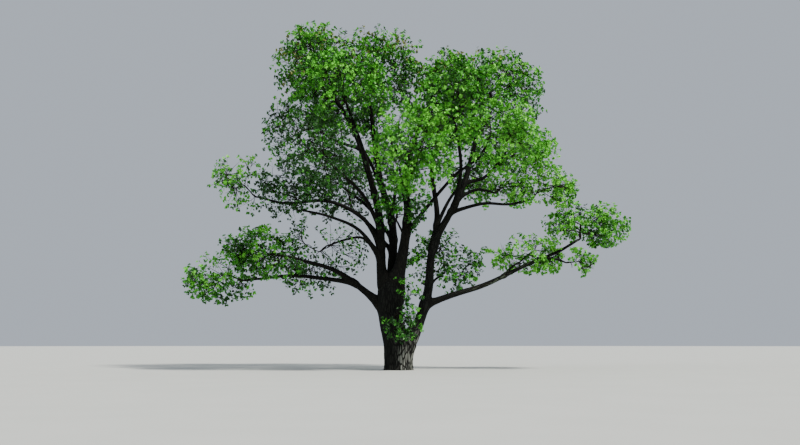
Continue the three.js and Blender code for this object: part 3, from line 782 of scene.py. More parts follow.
@dataclass
class Trunk:
    """The short thick trunk, with its lean, its flared foot and the bark's relief."""

    sides: int = 176
    ring_step: float = 0.05
    flare_lobes: int = 5
    flare_share: float = 0.07
    flare_height: float = 0.7
    furrow: float = 0.11
    relief: float = 0.035
    top_fade: float = 0.3
    top_rise: float = 0.02
    axis_points: int = 60

    def __post_init__(self) -> None:
        """Runs a smooth line through the sections: height, middle and half widths."""
        self.table = np.array(TRUNK_SECTIONS)
        self.line = Line(self.table)
        self.top = TRUNK_SECTIONS[-1][0]

    def section(self, heights: Array) -> Array:
        """Middle and half widths at heights, of shape (heights, 4)."""
        smooth = self.line.points
        return np.stack([np.interp(heights, smooth[:, 0], smooth[:, i]) for i in range(1, 5)], axis=-1)

    def middle(self, height: float) -> Array:
        """The trunk's middle at a height, straight between its sections."""
        return np.array([np.interp(height, self.table[:, 0], self.table[:, i]) for i in (1, 2)] + [height])

    def axis(self) -> Axis:
        """The trunk's middle line, for limbs to be measured against.

        Returns:
            Points up the middle, and the mean radius at each.
        """
        heights = np.linspace(0, self.top, self.axis_points)
        section = self.section(heights)
        return np.column_stack([section[:, :2], heights]), section[:, 2:].mean(axis=1)

    def build(self, limbs: list["GrownLimb"]) -> Object:
        """Makes the trunk.

        At an angle a and height z the surface is the section's middle + (rx cos a, ry sin a) x swell, where
        swell = 1 + flare x cos(5a) x exp(-z / flare height), + the relief of the bark and the swelling
        towards each limb that leaves it, both straight out and fading out at the top.

        Args:
            limbs: the limbs that leave the trunk.

        Returns:
            The piece.
        """
        heights = np.linspace(0, self.top, int(self.top / self.ring_step) + 1)
        x, y, rx, ry = (column[:, None] for column in self.section(heights).T)
        angle = 2 * np.pi * np.arange(self.sides) / self.sides
        out = np.stack([np.cos(angle), np.sin(angle), np.zeros(self.sides)], axis=-1)
        z = np.repeat(heights[:, None], self.sides, axis=1)
        swell = 1 + self.flare_share * np.cos(self.flare_lobes * angle) * np.exp(-z / self.flare_height)
        surface = np.stack([x + rx * swell * out[:, 0], y + ry * swell * out[:, 1], z], axis=-1)
        laid_out = np.stack([rx * out[:, 0], ry * out[:, 1], z], axis=-1)
        lift = bark_relief(laid_out, self.furrow, self.relief)
        lift = lift + swelling(surface, rx.mean(), [limb.axis() for limb in limbs])
        fade = np.minimum(1, (self.top - z) / self.top_fade)
        surface = surface + (lift * fade)[..., None] * out
        tip = surface[-1].mean(axis=0) + self.top_rise * UP
        return bark_piece("trunk_bark", surface, laid_out, (tip, self.top * UP))


@dataclass
class GrownLimb:
    """A limb with its line worked out from its parent."""

    limb: Limb
    line: Line
    parent_radius: float
    collar_share: float = 0.35
    collar_reach: float = 2.0
    taper_power: float = 0.8
    axis_step: float = 0.12
    axis_least: int = 12
    side_width: float = 0.04
    side_limits: tuple[int, int] = (14, 60)
    thick_limb: float = 0.2
    ring_steps: Pair = (0.075, 0.11)  # on thick limbs and on others
    ring_limits: tuple[int, int] = (16, 150)
    furrow_share: float = 0.3  # of the radius, and the relief's share of a furrow
    furrow_limits: Pair = (0.03, 0.09)
    pattern_shift: float = 7.3

    def radius(self, share: Array) -> Array:
        """The limb's radius at shares of its length.

        It is thick + (thin - thick) x share to the power 0.8 + a collar that fades over two radii.

        Args:
            share: shares of the length.

        Returns:
            Radii in metres.
        """
        thick, thin = self.limb.radii
        clear = np.maximum(0, share * self.line.length - self.parent_radius)
        collar = self.collar_share * thick * np.exp(-clear / (self.collar_reach * thick))
        return thick + (thin - thick) * share**self.taper_power + collar

    def axis(self) -> Axis:
        """Points along the middle and the radius at each."""
        share = np.linspace(0, 1, max(self.axis_least, int(self.line.length / self.axis_step)))
        return self.line.at(share), self.radius(share)

    def build(self, neighbours: list[Axis]) -> Object:
        """Makes the limb.

        A ring's point is the middle line's + radius x (cos a x normal + sin a x binormal), with the bark's
        relief and the swelling towards its neighbours added to the radius.

        Args:
            neighbours: the middle line and radii of its parent and of what grows from it.

        Returns:
            The piece.
        """
        thick = self.limb.radii[0]
        step = self.ring_steps[0 if thick > self.thick_limb else 1]
        sides = int(np.clip(2 * np.pi * thick / self.side_width, *self.side_limits))
        share = np.linspace(0, 1, int(np.clip(self.line.length / step, *self.ring_limits)))
        middle = self.line.at(share)
        normals, binormals = frames_along(middle[None])
        angle = 2 * np.pi * np.arange(sides) / sides
        out = np.cos(angle)[:, None] * normals[0][:, None] + np.sin(angle)[:, None] * binormals[0][:, None]
        radius = self.radius(share)[:, None]
        along = np.repeat(share[:, None] * self.line.length, sides, axis=1)
        laid_out = np.stack([radius * np.cos(angle), radius * np.sin(angle), along], axis=-1)
        laid_out = laid_out + self.line.controls[-1] * self.pattern_shift
        furrow = float(np.clip(thick * self.furrow_share, *self.furrow_limits))
        lift = bark_relief(laid_out, furrow, self.furrow_share * furrow)
        surface = middle[:, None] + radius[..., None] * out
        lift = lift + swelling(surface, thick, neighbours)
        surface = surface + lift[..., None] * out
        return bark_piece(f"{self.limb.name}_bark", surface, laid_out, (middle[-1], laid_out[-1, 0]))


@dataclass
class Boughs:
    """Every stem and bough, each from its parent's line as in the frame."""

    trunk: Trunk
    look_ups: int = 200
    block: int = 20_000  # points measured at a time

    def __post_init__(self) -> None:
        """Works out each limb's line from where it leaves its parent."""
        self.grown: dict[str, GrownLimb] = {}
        for limb in LIMBS:
            parent = self.grown.get(limb.parent)
            if parent:
                places = parent.line.at(np.linspace(0, 1, self.look_ups + 1))
                above = np.nonzero(places[:, 2] >= limb.height)[0]
                share = (above[0] if len(above) else self.look_ups) / self.look_ups
                start = places[int(share * self.look_ups)]
                parent_radius = float(parent.radius(np.array([share]))[0])
            else:
                start = self.trunk.middle(limb.height)
                parent_radius = TRUNK_SECTIONS[0][3]
            self.grown[limb.name] = GrownLimb(limb, Line(np.array([start, *limb.way])), parent_radius)

    def from_parent(self, name: str) -> list[GrownLimb]:
        """The limbs that leave one limb, or the trunk."""
        return [grown for grown in self.grown.values() if grown.limb.parent == name]

    def build(self) -> list[Object]:
        """Makes all limbs.

        Returns:
            The pieces, in the order of the list of limbs.
        """
        pieces = []
        for name, grown in self.grown.items():
            parent = self.grown.get(grown.limb.parent)
            near = [parent or self.trunk, *self.from_parent(name)]
            if not parent:
                near += [other for other in self.from_parent("trunk") if other is not grown]
            pieces.append(grown.build([other.axis() for other in near]))
        return pieces

    def clear_of(self, points: Array, margin: float) -> Array:
        """Says which points lie clear of the trunk and all limbs.

        Args:
            points: points, of shape (points, 3).
            margin: the least distance to the bark.

        Returns:
            True for each point that is clear.
        """
        clear = np.ones(len(points), bool)
        for middles, radii in (part.axis() for part in (self.trunk, *self.grown.values())):
            reach = radii.max() + margin
            inside = (points > middles.min(axis=0) - reach) & (points < middles.max(axis=0) + reach)
            near = np.nonzero(inside.all(axis=1))[0]
            for block in np.array_split(near, len(near) // self.block + 1):
                gaps = np.linalg.norm(points[block][:, None] - middles, axis=2) - radii
                clear[block] &= gaps.min(axis=1) > margin
        return clear


@dataclass
class Space:
    """The space of a mass: its egg shape, cut by a plane between it and each neighbour."""

    mass: Mass
    margin: float = 0.012

    def __post_init__(self) -> None:
        """Works out the walls: a plane divides the way to a neighbour as the two half widths do."""
        self.middle = np.array(self.mass.middle)
        self.radii = np.array(self.mass.radii)
        others = [other for other in MASSES if other is not self.mass]
        way = np.array([other.middle for other in others]) - self.middle
        distance = np.linalg.norm(way, axis=1)
        self.across = way / distance[:, None]
        mine = 1 / np.linalg.norm(self.across / self.radii, axis=1)
        theirs = 1 / np.linalg.norm(self.across / np.array([other.radii for other in others]), axis=1)
        self.reach = distance * mine / (mine + theirs) - self.margin

    def holds(self, points: Array, slack: float = 0.0) -> Array:
        """Says which points lie inside.

        Args:
            points: points, with x, y and z along the last axis.
            slack: how far beyond its limits a point may lie, in metres.

        Returns:
            True for each point inside.
        """
        offset = points - self.middle
        egg = np.linalg.norm(offset / (self.radii + slack), axis=-1) <= 1
        return egg & np.all(offset @ self.across.T <= self.reach + slack, axis=-1)


@dataclass
class Node:
    """A place on a twig where another may grow, how far it is from the bough's tip and its radius."""

    at: Array
    heading: Array
    path: float
    radius: float


@dataclass
class Sprays:
    """Leafy side twigs, as arrays with one row each."""

    roots: Array
    tips: Array
    facing: Array
    leaving: Array
    masses: Array


@dataclass
class Crown:
    """Main twigs and sprays of every mass, by the same rule as the solids and carried further.

    The first twigs and sprays of a mass are those of its solid; more of both follow in the same series.
    Lengths are in metres, and shares are of a mass's half widths or of a twig's length.
    """

    boughs: Boughs
    twigs: int = 12
    least_twigs: int = 6
    solid_twigs: int = 5
    full_size: float = 2.4  # mean half width of a mass with that many main twigs
    series: int = 20
    heart: Triple = (0.0, 0.0, 9.5)
    light: float = 0.35
    pull: float = 0.22
    pulls: int = 5
    stem_short: float = 0.35
    stem_lead: float = 0.3
    stem_sink: float = 0.05
    stem_end: float = 0.5
    stem_taper: float = 0.4
    root_depth: float = 0.09
    detour_cost: float = 0.5
    trunk_twig: float = 0.06
    child_share: float = 0.85
    twig_reach: float = 0.6
    late_reach: Pair = (0.75, 0.35)  # least, and more by chance
    twig_lead: float = 0.25
    twig_bend: float = 0.05
    twig_taper: float = 0.65
    twig_room: float = 0.03
    twig_checks: tuple[float, float, int] = (0.35, 1.0, 8)
    twig_rings: int = 9
    twig_sides: int = 7
    sprays: int = 11
    solid_sprays: int = 3
    spray_reach: float = 0.68
    spray_lean: float = 0.5
    spray_lift: float = 0.6
    spray_room: float = 0.05
    spray_checks: tuple[float, ...] = (0.2, 0.45, 0.7, 1.0)
    waist: float = 0.6  # where a spray must lie in its mass besides its tip
    root_spacing: float = 0.16
    lap_spacing: float = 0.055
    lap_turn: float = 0.13
    lap_short: float = 0.09
    sizes: tuple[float, ...] = (1.0, 0.9, 0.8, 0.7, 0.6, 0.48, 0.36)
    gap_size: float = 1.1
    edge: float = 0.87
    edge_play: float = 0.2
    edge_lump: float = 0.9
    draw_back: float = 1.3
    shortest: float = 0.35
    lines: list[tuple[Line, float, float]] = field(default_factory=list)  # with the radii at both ends

    def stem(self, mass: Mass, space: Space) -> tuple[Line, float]:
        """The stem of a mass, in line with its bough's tip, or straight out of the trunk.

        Args:
            mass: the mass.
            space: its space.

        Returns:
            The stem's line and its radius where it starts.
        """
        heading, radius = np.array([0.0, -1.0, 0.0]), self.trunk_twig
        if mass.on_trunk:
            start = self.boughs.trunk.middle(mass.on_trunk)
        else:
            fed = next(grown for grown in self.boughs.grown.values() if grown.limb.feeds == mass.name)
            heading, start, radius = fed.line.heading(1.0), fed.line.points[-1], fed.limb.radii[1]
        hub = space.middle + (start - space.middle) * self.stem_short
        first = start + heading * self.stem_lead * np.linalg.norm(hub - start)
        return Line(np.array([start - heading * self.stem_sink, first, hub])), radius

    def nodes_on(self, line: Line, path: float, radius: float, taper: float) -> list[Node]:
        """The places in the middle and at the end of a twig, sunk into the stretch behind them.

        Args:
            line: the twig's line.
            path: the way from the bough's tip to the twig's start.
            radius: the twig's radius where it starts.
            taper: the share of it that is gone at its end.

        Returns:
            The two places.
        """
        nodes = []
        for share in (0.5, 1):
            at = line.at(share)
            at = at + unit(line.at(share - 0.5) - at) * self.root_depth
            nodes.append(Node(at, line.heading(share), path + share * line.length,
                              radius * (1 - taper * share)))
        return nodes

    def best_node(self, nodes: list[Node], point: Array) -> Node:
        """The node with the shortest way back from a point, without turning round.

        Args:
            nodes: the nodes.
            point: the point.

        Returns:
            The best of them.
        """

        def cost(node: Node) -> float:
            """The distance, more where it runs backwards, and a share of the way back.

            Args:
                node: the node.

            Returns:
                What the way from there costs.
            """
            step = point - node.at
            backwards = max(0.0, -float(unit(step) @ node.heading))
            return float(np.linalg.norm(step)) * (1 + backwards) + self.detour_cost * node.path

        return min(nodes, key=cost)

    def twig_ends(self, number: int, space: Space, away: Array) -> list[tuple[int, Array]]:
        """Where the main twigs of a mass end: scattered round its middle and leaning to the light.

        The twigs that the solid has reach as far as there, and later ones from 0.75 to 1.1 as far.

        Args:
            number: the number of the mass.
            space: its space.
            away: the direction from the heart of the crown.

        Returns:
            The series number and end of each main twig.
        """
        ends = []
        size = min(1.0, float(space.radii.mean()) / self.full_size)
        for twig in range(max(self.least_twigs, round(self.twigs * size**2))):
            series = self.series * number + twig
            outward = unit((direction(series) if twig else away) + away * self.light)
            least, more = (1, 0) if twig < self.solid_twigs else self.late_reach
            reach = self.twig_reach * (least + more * scatter(series, 7))
            end = space.middle + outward * reach * space.radii
            for _ in range(self.pulls):
                if space.holds(end):
                    ends.append((series, end))
                    break
                end = end + (space.middle - end) * self.pull
        return ends

    def grow_mass(self, number: int, mass: Mass) -> list[tuple]:
        """Grows one mass: a stem, main twigs that branch from it, and sprays on their outer halves.

        Args:
            number: the number of the mass.
            mass: the mass.

        Returns:
            A row of Sprays for each of its sprays.
        """
        space = Space(mass)
        stem, radius = self.stem(mass, space)
        self.lines.append((stem, radius, self.stem_end * radius))
        nodes = self.nodes_on(stem, 0, radius, self.stem_taper)
        away = unit(space.middle - np.array(self.heart))
        ends = self.twig_ends(number, space, away)
        ends.sort(key=lambda pair: float(np.linalg.norm(pair[1] - nodes[0].at)))
        rows = []
        for series, end in ends:
            node = self.best_node(nodes, end)
            lead = node.at + node.heading * self.twig_lead * np.linalg.norm(end - node.at)
            middle = 0.5 * (lead + end) + self.twig_bend * space.radii * direction(series + 7)
            line = Line(np.array([node.at, lead, middle, end]))
            if self.boughs.clear_of(line.at(np.linspace(*self.twig_checks)), self.twig_room).all():
                thick = self.child_share * node.radius
                self.lines.append((line, thick, (1 - self.twig_taper) * thick))
                nodes += self.nodes_on(line, node.path, thick, self.twig_taper)
                rows += self.place_sprays(series, line, space)
        return rows

    def place_sprays(self, series: int, line: Line, space: Space) -> list[tuple]:
        """Spreads sprays round the outer part of a main twig.

        The first three are the solid's; each later lap of three lies between them and further back, and
        the last spray carries the twig on. A spray is as long as finds room.

        Args:
            series: the twig's series number.
            line: the twig's line.
            space: the space of its mass.

        Returns:
            A row of Sprays for each.
        """
        rows = []
        for spray in range(self.sprays):
            lap, step = divmod(spray, self.solid_sprays)
            share = 1 - self.root_spacing * step - self.lap_spacing * lap
            heading = line.heading(share)
            turn = 2 * math.pi * (step / self.solid_sprays + self.lap_turn * lap + scatter(series, 5))
            last = spray == self.sprays - 1
            lean = heading if last else unit(sideways(heading, turn) + heading * self.spray_lean)
            reach = lean * self.spray_reach * space.radii * (1 - self.lap_short * lap)
            root = line.at(1.0 if last else share)
            tips = root + np.outer(self.sizes, reach)
            room = space.holds(tips) & space.holds(root + np.outer(self.sizes, self.waist * reach))
            if room.any():
                facing = unit(heading + self.spray_lift * UP)
                rows.append((root, tips[room.argmax()], facing, heading, series // self.series))
        return rows

    def grow(self) -> Sprays:
        """Grows every mass.

        Returns:
            All sprays that are clear of the limbs.
        """
        rows = [row for number, mass in enumerate(MASSES) for row in self.grow_mass(number, mass)]
        every = Sprays(*(np.array(column) for column in zip(*rows)))
        every.tips = self.ragged(every)
        clear = self.filled(every)
        for share in self.spray_checks:
            clear &= self.boughs.clear_of(every.roots + (every.tips - every.roots) * share, self.spray_room)
        return Sprays(*(column[clear] for column in vars(every).values()))

    def ragged(self, sprays: Sprays) -> Array:
        """Draws tips back from the edge of their mass, further where a slow noise is low.

        A tip may lie at 0.87 + 0.2 x noise of the half widths; one beyond is drawn back by 1.3 x the rest.

        Args:
            sprays: the sprays.

        Returns:
            Their new tips.
        """
        middles, radii = of_masses("middle", sprays.masses), of_masses("radii", sprays.masses)
        egg = np.linalg.norm((sprays.tips - middles) / radii, axis=1)
        beyond = egg - self.edge - self.edge_play * lattice_noise(sprays.tips / self.edge_lump)
        kept = np.clip(1 - self.draw_back * beyond, self.shortest, 1)
        return sprays.roots + (sprays.tips - sprays.roots) * kept[:, None]

    def filled(self, sprays: Sprays) -> Array:
        """Says which sprays stay: in each mass the share that is full, where a slow noise is lowest.

        Args:
            sprays: the sprays.

        Returns:
            True for each spray that stays.
        """
        hollow = lattice_noise(0.5 * (sprays.roots + sprays.tips) / self.gap_size)
        stays = np.ones(len(hollow), bool)
        for number, mass in enumerate(MASSES):
            rows = sprays.masses == number
            stays[rows] = hollow[rows] <= np.quantile(hollow[rows], mass.fullness)
        return stays

    def build(self) -> Object:
        """Makes the main twigs, which taper evenly.

        Returns:
            The piece.
        """
        share = np.linspace(0, 1, self.twig_rings + 1)
        paths = np.array([line.at(share) for line, _, _ in self.lines])
        thick, thin = np.array([radii for _, *radii in self.lines]).T[..., None]
        tubes = twig_tubes(paths, thick + (thin - thick) * share[:-1], self.twig_sides)
        return mesh_piece("branches", *tubes)


@dataclass
class Leafage:
    """The side twigs of each spray and the leaves on them.

    A range is the least and the most of an even draw, and a spread is that of a normal one.
    """

    sprays: Sprays
    boughs: Boughs
    shoots: int = 9
    shoot_span: Pair = (0.14, 1.0)
    shoot_shift: float = 0.04
    first_shoot: float = 0.08
    last_shoot: float = 0.985
    lift_range: Pair = (-0.55, 0.65)
    forward_range: Pair = (0.5, 0.9)
    shoot_aside: float = 0.9
    width: float = 0.95
    profile: Triple = (0.45, 0.55, 0.8)
    size_range: Pair = (0.8, 1.15)
    sag: float = 0.08
    spray_bend: float = 0.5  # how much of its main twig's heading a spray starts with
    full_spray: float = 1.3  # length of a spray that keeps all its shoots
    least_kept: float = 0.3
    shoot_slack: float = 0.01
    crowd_size: float = 0.5
    crowd_limit: int = 4
    thin_size: float = 0.7
    thin_share: float = 0.14
    twig_base: float = 0.012
    twig_growth: float = 0.006
    twig_end: float = 0.35
    twig_rings: int = 5
    shoot_radii: Pair = (0.0065, 0.0045)
    tufts: tuple[float, ...] = (1.0, 1.0, 1.0, 0.98, 0.97, 0.6, 0.58, 0.56)
    turn_range: Pair = (0.0, 6.28)
    turn_spread: float = 0.4
    leaf_forward: float = 0.55
    leaf_droop: Pair = (-0.3, 0.25)  # middle and spread
    face_up: float = 0.9
    face_out: float = 0.7
    shoot_face_spread: float = 0.45
    leaf_face_spread: float = 0.35
    leaf_length: float = 0.15
    leaf_range: Pair = (0.7, 1.2)
    leaf_kept: float = 0.92
    leafy_rule: Pair = (0.4, 0.6)
    leaf_slack: float = 0.12
    frame_slack: float = 0.012
    leaf_room: float = 0.04
    # Painted light and shade on the tints: brighter high up, far out, upwards and to the right, towards the
    # key light
    painted_light_high: float = 0.3
    painted_light_out: float = 0.35
    painted_light_rise: float = 0.05  # a metre above the crown's middle
    painted_light_right: float = 0.02  # a metre
    crown_middle: float = 11.0
    tint_spreads: Pair = (0.32, 0.4)  # of sprays and of shoots
    tint_limits: tuple[float, ...] = (0.13, 0.355, 0.63, 0.885)  # shares of shoots below the next tint
    bronze_above: float = 16.0
    bronze_share: float = 0.1
    random: np.random.Generator = field(default_factory=lambda: np.random.default_rng(SEED))

    def __post_init__(self) -> None:
        """Works out each spray's own directions, its bent middle line and its side shoots."""
        roots, tips = self.sprays.roots, self.sprays.tips
        self.length = np.linalg.norm(tips - roots, axis=1)
        self.along = unit(tips - roots)
        self.side = unit(np.cross(self.sprays.facing, self.along))
        self.flat = np.cross(self.along, self.side)
        early = unit(self.along + self.spray_bend * self.sprays.leaving)
        self.bend = roots + 0.5 * self.length[:, None] * early
        self.leafy = of_masses("leafy", self.sprays.masses)
        self.place_shoots()

    def on_spray(self, share: Array) -> Array:
        """Points on each spray's middle line: (1-s)^2 root + 2s(1-s) bend + s^2 tip.

        Args:
            share: shares of the line, of shape (sprays, places).

        Returns:
            Points, of shape (sprays, places, 3).
        """
        s = share[..., None]
        roots, tips = self.sprays.roots[:, None], self.sprays.tips[:, None]
        return (1 - s) ** 2 * roots + 2 * s * (1 - s) * self.bend[:, None] + s**2 * tips

    def place_shoots(self) -> None:
        """Sets side shoots left and right along each spray, with one at its tip.

        A shoot at a share t is as long as half the spray's width x (0.45 + 0.55 sin(pi t^0.8)), and leaves it
        forwards and sideways, a little above or below the spray's own plane. Short sprays keep fewer shoots.
        Shoots that end outside the frame's box, crowded ones and those where a slow noise is highest go.
        """
        shape = (len(self.length), self.shoots)
        draw = self.random.uniform
        steps = np.linspace(*self.shoot_span, self.shoots)
        share = np.clip(steps + draw(-self.shoot_shift, self.shoot_shift, shape), self.first_shoot, 1.0)
        share[:, -1] = self.last_shoot
        aside = np.where(np.arange(self.shoots) % 2 == 0, 1.0, -1.0)
        aside = self.shoot_aside * (aside * np.where(self.random.random(shape[0]) < 0.5, 1, -1)[:, None])
        aside[:, -1] = 0.0
        lift, forward = draw(*self.lift_range, shape), draw(*self.forward_range, shape)
        heading = (forward[..., None] * self.along[:, None] + aside[..., None] * self.side[:, None]
                   + lift[..., None] * self.flat[:, None])
        least, more, power = self.profile
        profile = least + more * np.sin(np.pi * share**power)
        self.size = 0.5 * self.width * self.length[:, None] * profile * draw(*self.size_range, shape)
        self.starts = self.on_spray(share)
        self.headings = unit(heading)
        tips = self.starts + self.headings * self.size[..., None]
        self.kept = in_frame(tips, self.shoot_slack)
        chance = np.clip(self.length / self.full_spray, self.least_kept, 1)
        self.kept &= self.random.random(shape) < chance[:, None]
        limits = np.maximum(1, np.round(self.crowd_limit * self.leafy)).repeat(self.shoots).reshape(shape)
        self.kept[self.kept] = self.uncrowded(tips[self.kept], limits[self.kept])
        gaps = lattice_noise(tips / self.thin_size)
        self.kept &= gaps < np.quantile(gaps[self.kept], 1 - self.thin_share)

    def uncrowded(self, tips: Array, limits: Array) -> Array:
        """Says which shoots stay: no more than a few may end in one cube of the crown.

        Args:
            tips: where the shoots end.
            limits: how many may end in the cube, for each shoot.

        Returns:
            True for each shoot that stays.
        """
        cube = np.unique(np.floor(tips / self.crowd_size), axis=0, return_inverse=True)[1].ravel()
        order = np.lexsort((self.random.random(len(cube)), cube))
        place = np.empty(len(cube), int)
        place[order] = np.arange(len(cube)) - np.searchsorted(cube[order], cube[order])
        return place < limits

    def shoot_points(self, share: Array) -> Array:
        """Points on every shoot, which sags by 0.08 of its length towards its tip.

        Args:
            share: shares of the shoots' length, of shape (places,).

        Returns:
            Points, of shape (sprays, shoots, places, 3).
        """
        size = self.size[..., None, None]
        straight = self.starts[:, :, None] + self.headings[:, :, None] * size * share[:, None]
        return straight - UP * self.sag * size * share[:, None] ** 2

    def tint_numbers(self) -> Array:
        """Deals a tint to each shoot: painted light high up and far out, painted shade low down and inside.

        A spray's score is 0.3 x height + 0.35 x distance in its mass, + 0.05 and 0.02 a metre up and to the
        right in the tree, towards the key light, + the light of its mass, + chance for the spray and again
        for the shoot, so the tints carry painted light and shade with a random tone on top. High up a few
        shoots turn bronze instead.

        Returns:
            The number of the tint for each shoot.
        """
        masses = self.sprays.masses
        place = 0.5 * (self.sprays.roots + self.sprays.tips)
        inside = (place - of_masses("middle", masses)) / of_masses("radii", masses)
        outer = np.linalg.norm(inside, axis=1)
        of_spray, of_shoot = self.tint_spreads
        # Painted light high up and far out in the mass, painted shade low down and inside
        score = self.painted_light_high * inside[:, 2] + self.painted_light_out * outer
        score += self.random.normal(0, of_spray, len(place))
        # Painted light upwards in the crown and to the right, towards the key light
        score += self.painted_light_rise * (place[:, 2] - self.crown_middle) + self.painted_light_right * place[:, 0]
        # The painted light of each mass, painted shade where it is below 0
        score += of_masses("light", masses)
        score = score[:, None] + self.random.normal(0, of_shoot, (len(place), self.shoots))
        tint = np.searchsorted(np.quantile(score, self.tint_limits), score)
        high = (place[:, 2] > self.bronze_above)[:, None]
        bronze = high & (self.random.random(score.shape) < self.bronze_share)
        return np.where(bronze, len(LeafTint) - 1, tint).ravel()

    def build_twigs(self) -> list[Object]:
        """Makes the sprays' middle twigs and side shoots.

        Returns:
            The pieces.
        """
        share = np.repeat(np.linspace(0, 1, self.twig_rings + 1)[None], len(self.length), axis=0)
        taper = np.linspace(1, self.twig_end, self.twig_rings)
        radii = (self.twig_base + self.twig_growth * self.length)[:, None] * taper
        pieces = [mesh_piece("spray_twigs", *twig_tubes(self.on_spray(share), radii, 4))]
        paths = self.shoot_points(np.array([0.0, 0.5, 1.0]))[self.kept]
        radii = np.repeat([self.shoot_radii], len(paths), axis=0)
        parts = len(paths) * SHOOT_FACES // FACE_LIMIT + 1
        for number, rows in enumerate(np.array_split(np.arange(len(paths)), parts)):
            pieces.append(mesh_piece(f"shoots_{number + 1}", *twig_tubes(paths[rows], radii[rows], 3)))
        return pieces

    def leaf_arrays(self) -> tuple[Array, ...]:
        """Places the leaves along the shoots.

        Each turns round its shoot by the golden angle from the last one, points forwards, outwards and
        down, and faces up and out of the crown, with some chance in each.

        Returns:
            Place, direction, facing, length and shoot number of each leaf.
        """
        at = self.shoot_points(np.array(self.tufts))
        shape = at.shape[:3]
        normal = self.random.normal
        first = self.random.uniform(*self.turn_range, shape[:2])[..., None]
        turn = GOLDEN_ANGLE * np.arange(shape[2]) + first + normal(0, self.turn_spread, shape)
        forward = self.headings[:, :, None]
        across = unit(np.cross(forward, UP))
        above = np.cross(across, forward)
        around = np.cos(turn)[..., None] * across + np.sin(turn)[..., None] * above
        heading = self.leaf_forward * forward + around + UP * normal(*self.leaf_droop, shape)[..., None]
        facing = self.face_up * UP + self.face_out * self.sprays.facing[:, None, None]
        facing = facing + normal(0, self.shoot_face_spread, (*shape[:2], 1, 3))
        facing = facing + normal(0, self.leaf_face_spread, (*shape, 3))
        size = self.leaf_length * self.random.uniform(*self.leaf_range, shape)
        least, more = self.leafy_rule
        stays = self.leaf_kept * (least + more * self.leafy)
        kept = self.kept[:, :, None] & (self.random.random(shape) < stays[:, None, None])
        middle = at + 0.5 * size[..., None] * unit(heading)
        for number, mass in enumerate(MASSES):
            rows = self.sprays.masses == number
            kept[rows] &= Space(mass).holds(middle[rows], self.leaf_slack)
        kept &= in_frame(middle, self.frame_slack)
        kept[kept] = self.boughs.clear_of(middle[kept], self.leaf_room)
        shoot = np.broadcast_to(np.arange(self.kept.size).reshape(*shape[:2], 1), shape)
        return at[kept], unit(heading[kept]), facing[kept], size[kept], shoot[kept]

    def build_leaves(self) -> list[tuple[Object, LeafTint]]:
        """Makes the leaves: heart-shaped blades of four faces, folded up along the midrib.

        A blade's point is its base + length x (across x side + along x direction + rise x facing).

        Returns:
            The pieces, each with its tint.
        """
        at, heading, facing, size, shoot = self.leaf_arrays()
        side = unit(np.cross(heading, facing))
        axes = np.stack([side, heading, np.cross(side, heading)], axis=1)
        blades = at[:, None] + size[:, None, None] * (BLADE @ axes)
        tints = self.tint_numbers()[shoot]
        pieces = []
        for number, tint in enumerate(LeafTint):
            chosen = blades[tints == number]
            parts = len(chosen) * len(BLADE_FACES) // FACE_LIMIT + 1
            for part, rows in enumerate(np.array_split(chosen, parts)):
                faces = (BLADE_FACES + len(BLADE) * np.arange(len(rows))[:, None, None]).reshape(-1, 3)
                name = f"leaves_{tint.name.lower()}_{part + 1}"
                pieces.append((mesh_piece(name, rows.reshape(-1, 3), [faces], smooth=False), tint))
        return pieces


# The stage


@dataclass(frozen=True)
class Lamp:
    """A distant soft light: its turns from straight down and its apparent size, in degrees."""

    name: str
    turn: Triple
    strength: float
    size: float
    colour: Triple

    def build(self) -> None:
        """Adds it to the scene."""
        light = bpy.data.lights.new(self.name, "SUN")
        light.energy, light.angle, light.color = self.strength, math.radians(self.size), self.colour
        lamp = bpy.data.objects.new(self.name, light)
        lamp.rotation_euler = tuple(math.radians(part) for part in self.turn)
        bpy.context.scene.collection.objects.link(lamp)


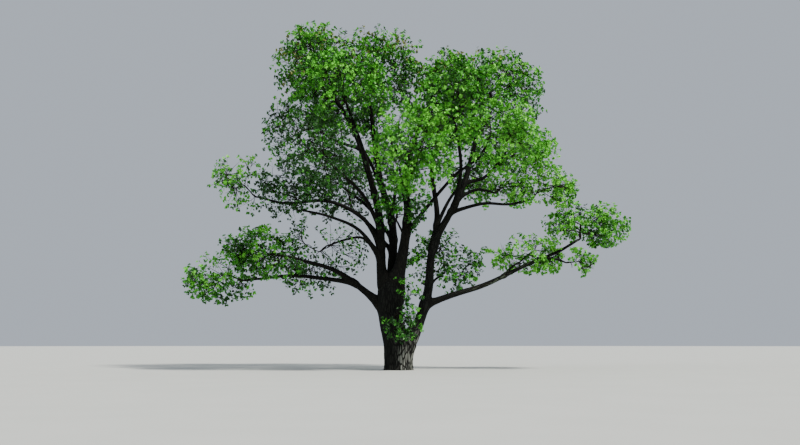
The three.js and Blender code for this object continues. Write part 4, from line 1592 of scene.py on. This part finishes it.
@dataclass
class Studio:
    """The pale floor, the soft light and the camera at the photograph's angle."""

    floor_radius: float = 400.0
    floor_sides: int = 96
    floor_gap: float = 0.003
    floor_tones: tuple[Colour, Colour] = ((0.50, 0.51, 0.48, 1), (0.55, 0.56, 0.53, 1))
    floor_roughness: float = 0.95
    cloud_scale: float = 0.4
    lamps: tuple[Lamp, ...] = (Lamp("key", (42, 0, 48), 5.8, 9.0, (1.0, 0.97, 0.90)),
                               Lamp("fill", (60, 0, -65), 0.55, 40.0, (0.92, 0.96, 1.0)))
    sky: Colour = (0.80, 0.88, 1.0, 1)
    sky_strength: float = 0.6
    camera_at: Triple = (0.08, -50.0, 1.455)
    camera_tilt: float = 97.55
    lens: float = 40.9
    far: float = 2000.0

    def build_floor(self) -> None:
        """Makes a round floor with a faint unevenness in its tone."""
        angle = 2 * np.pi * np.arange(self.floor_sides) / self.floor_sides
        ring = self.floor_radius * np.stack([np.cos(angle), np.sin(angle), 0 * angle], axis=-1)
        faces = [np.arange(self.floor_sides)[None]]
        floor = mesh_piece("floor", ring - self.floor_gap * UP, faces, smooth=False)
        made, s, skin = new_material("floor")
        where = s.node("ShaderNodeTexCoord").outputs["Object"]
        cloud = s.node("ShaderNodeTexNoise", {"Vector": where, "Scale": self.cloud_scale, "Detail": 2.0})
        tone = s.blend(cloud.outputs["Fac"], *self.floor_tones)
        s.feed(skin, {"Base Color": tone, "Roughness": self.floor_roughness})
        floor.data.materials.append(made)

    def build(self) -> None:
        """Makes floor, lights, sky and camera."""
        self.build_floor()
        for lamp in self.lamps:
            lamp.build()
        world = bpy.data.worlds.new("sky")
        world.use_nodes = True
        glow = {"Color": self.sky, "Strength": self.sky_strength}
        Shading(world.node_tree).feed(world.node_tree.nodes["Background"], glow)
        bpy.context.scene.world = world
        data = bpy.data.cameras.new("camera")
        data.lens, data.clip_end = self.lens, self.far
        camera = bpy.data.objects.new("camera", data)
        camera.location = self.camera_at
        camera.rotation_euler = (math.radians(self.camera_tilt), 0, 0)
        bpy.context.scene.collection.objects.link(camera)
        bpy.context.scene.camera = camera


def main() -> None:
    """Builds the stage, the trunk, the boughs, the twigs and the leaves, and dresses them."""
    logging.basicConfig(level=logging.INFO, format="%(name)s %(message)s")
    Studio().build()
    group = BarkPattern().group()
    barks = {bark: bark.value.material(group) for bark in Bark}
    boughs = Boughs(Trunk())
    settle(boughs.trunk.build(boughs.from_parent("trunk")), barks[Bark.TRUNK], ["trunk"])
    for limb, piece in zip(LIMBS, boughs.build()):
        bark = Bark.TRUNK if limb.name == "right_stem" else Bark.BOUGH
        settle(piece, barks[bark], [limb.name])
    foliage = [f"foliage_{mass.name}" for mass in MASSES]
    crown = Crown(boughs)
    leafage = Leafage(crown.grow(), boughs)
    log.info("%d main twigs, %d sprays", len(crown.lines), len(leafage.length))
    for piece in (crown.build(), *leafage.build_twigs()):
        settle(piece, barks[Bark.TWIG], foliage)
    greens = {tint: tint.value.material() for tint in LeafTint}
    for piece, tint in leafage.build_leaves():
        settle(piece, greens[tint], foliage)


if __name__ == "__main__":
    main()
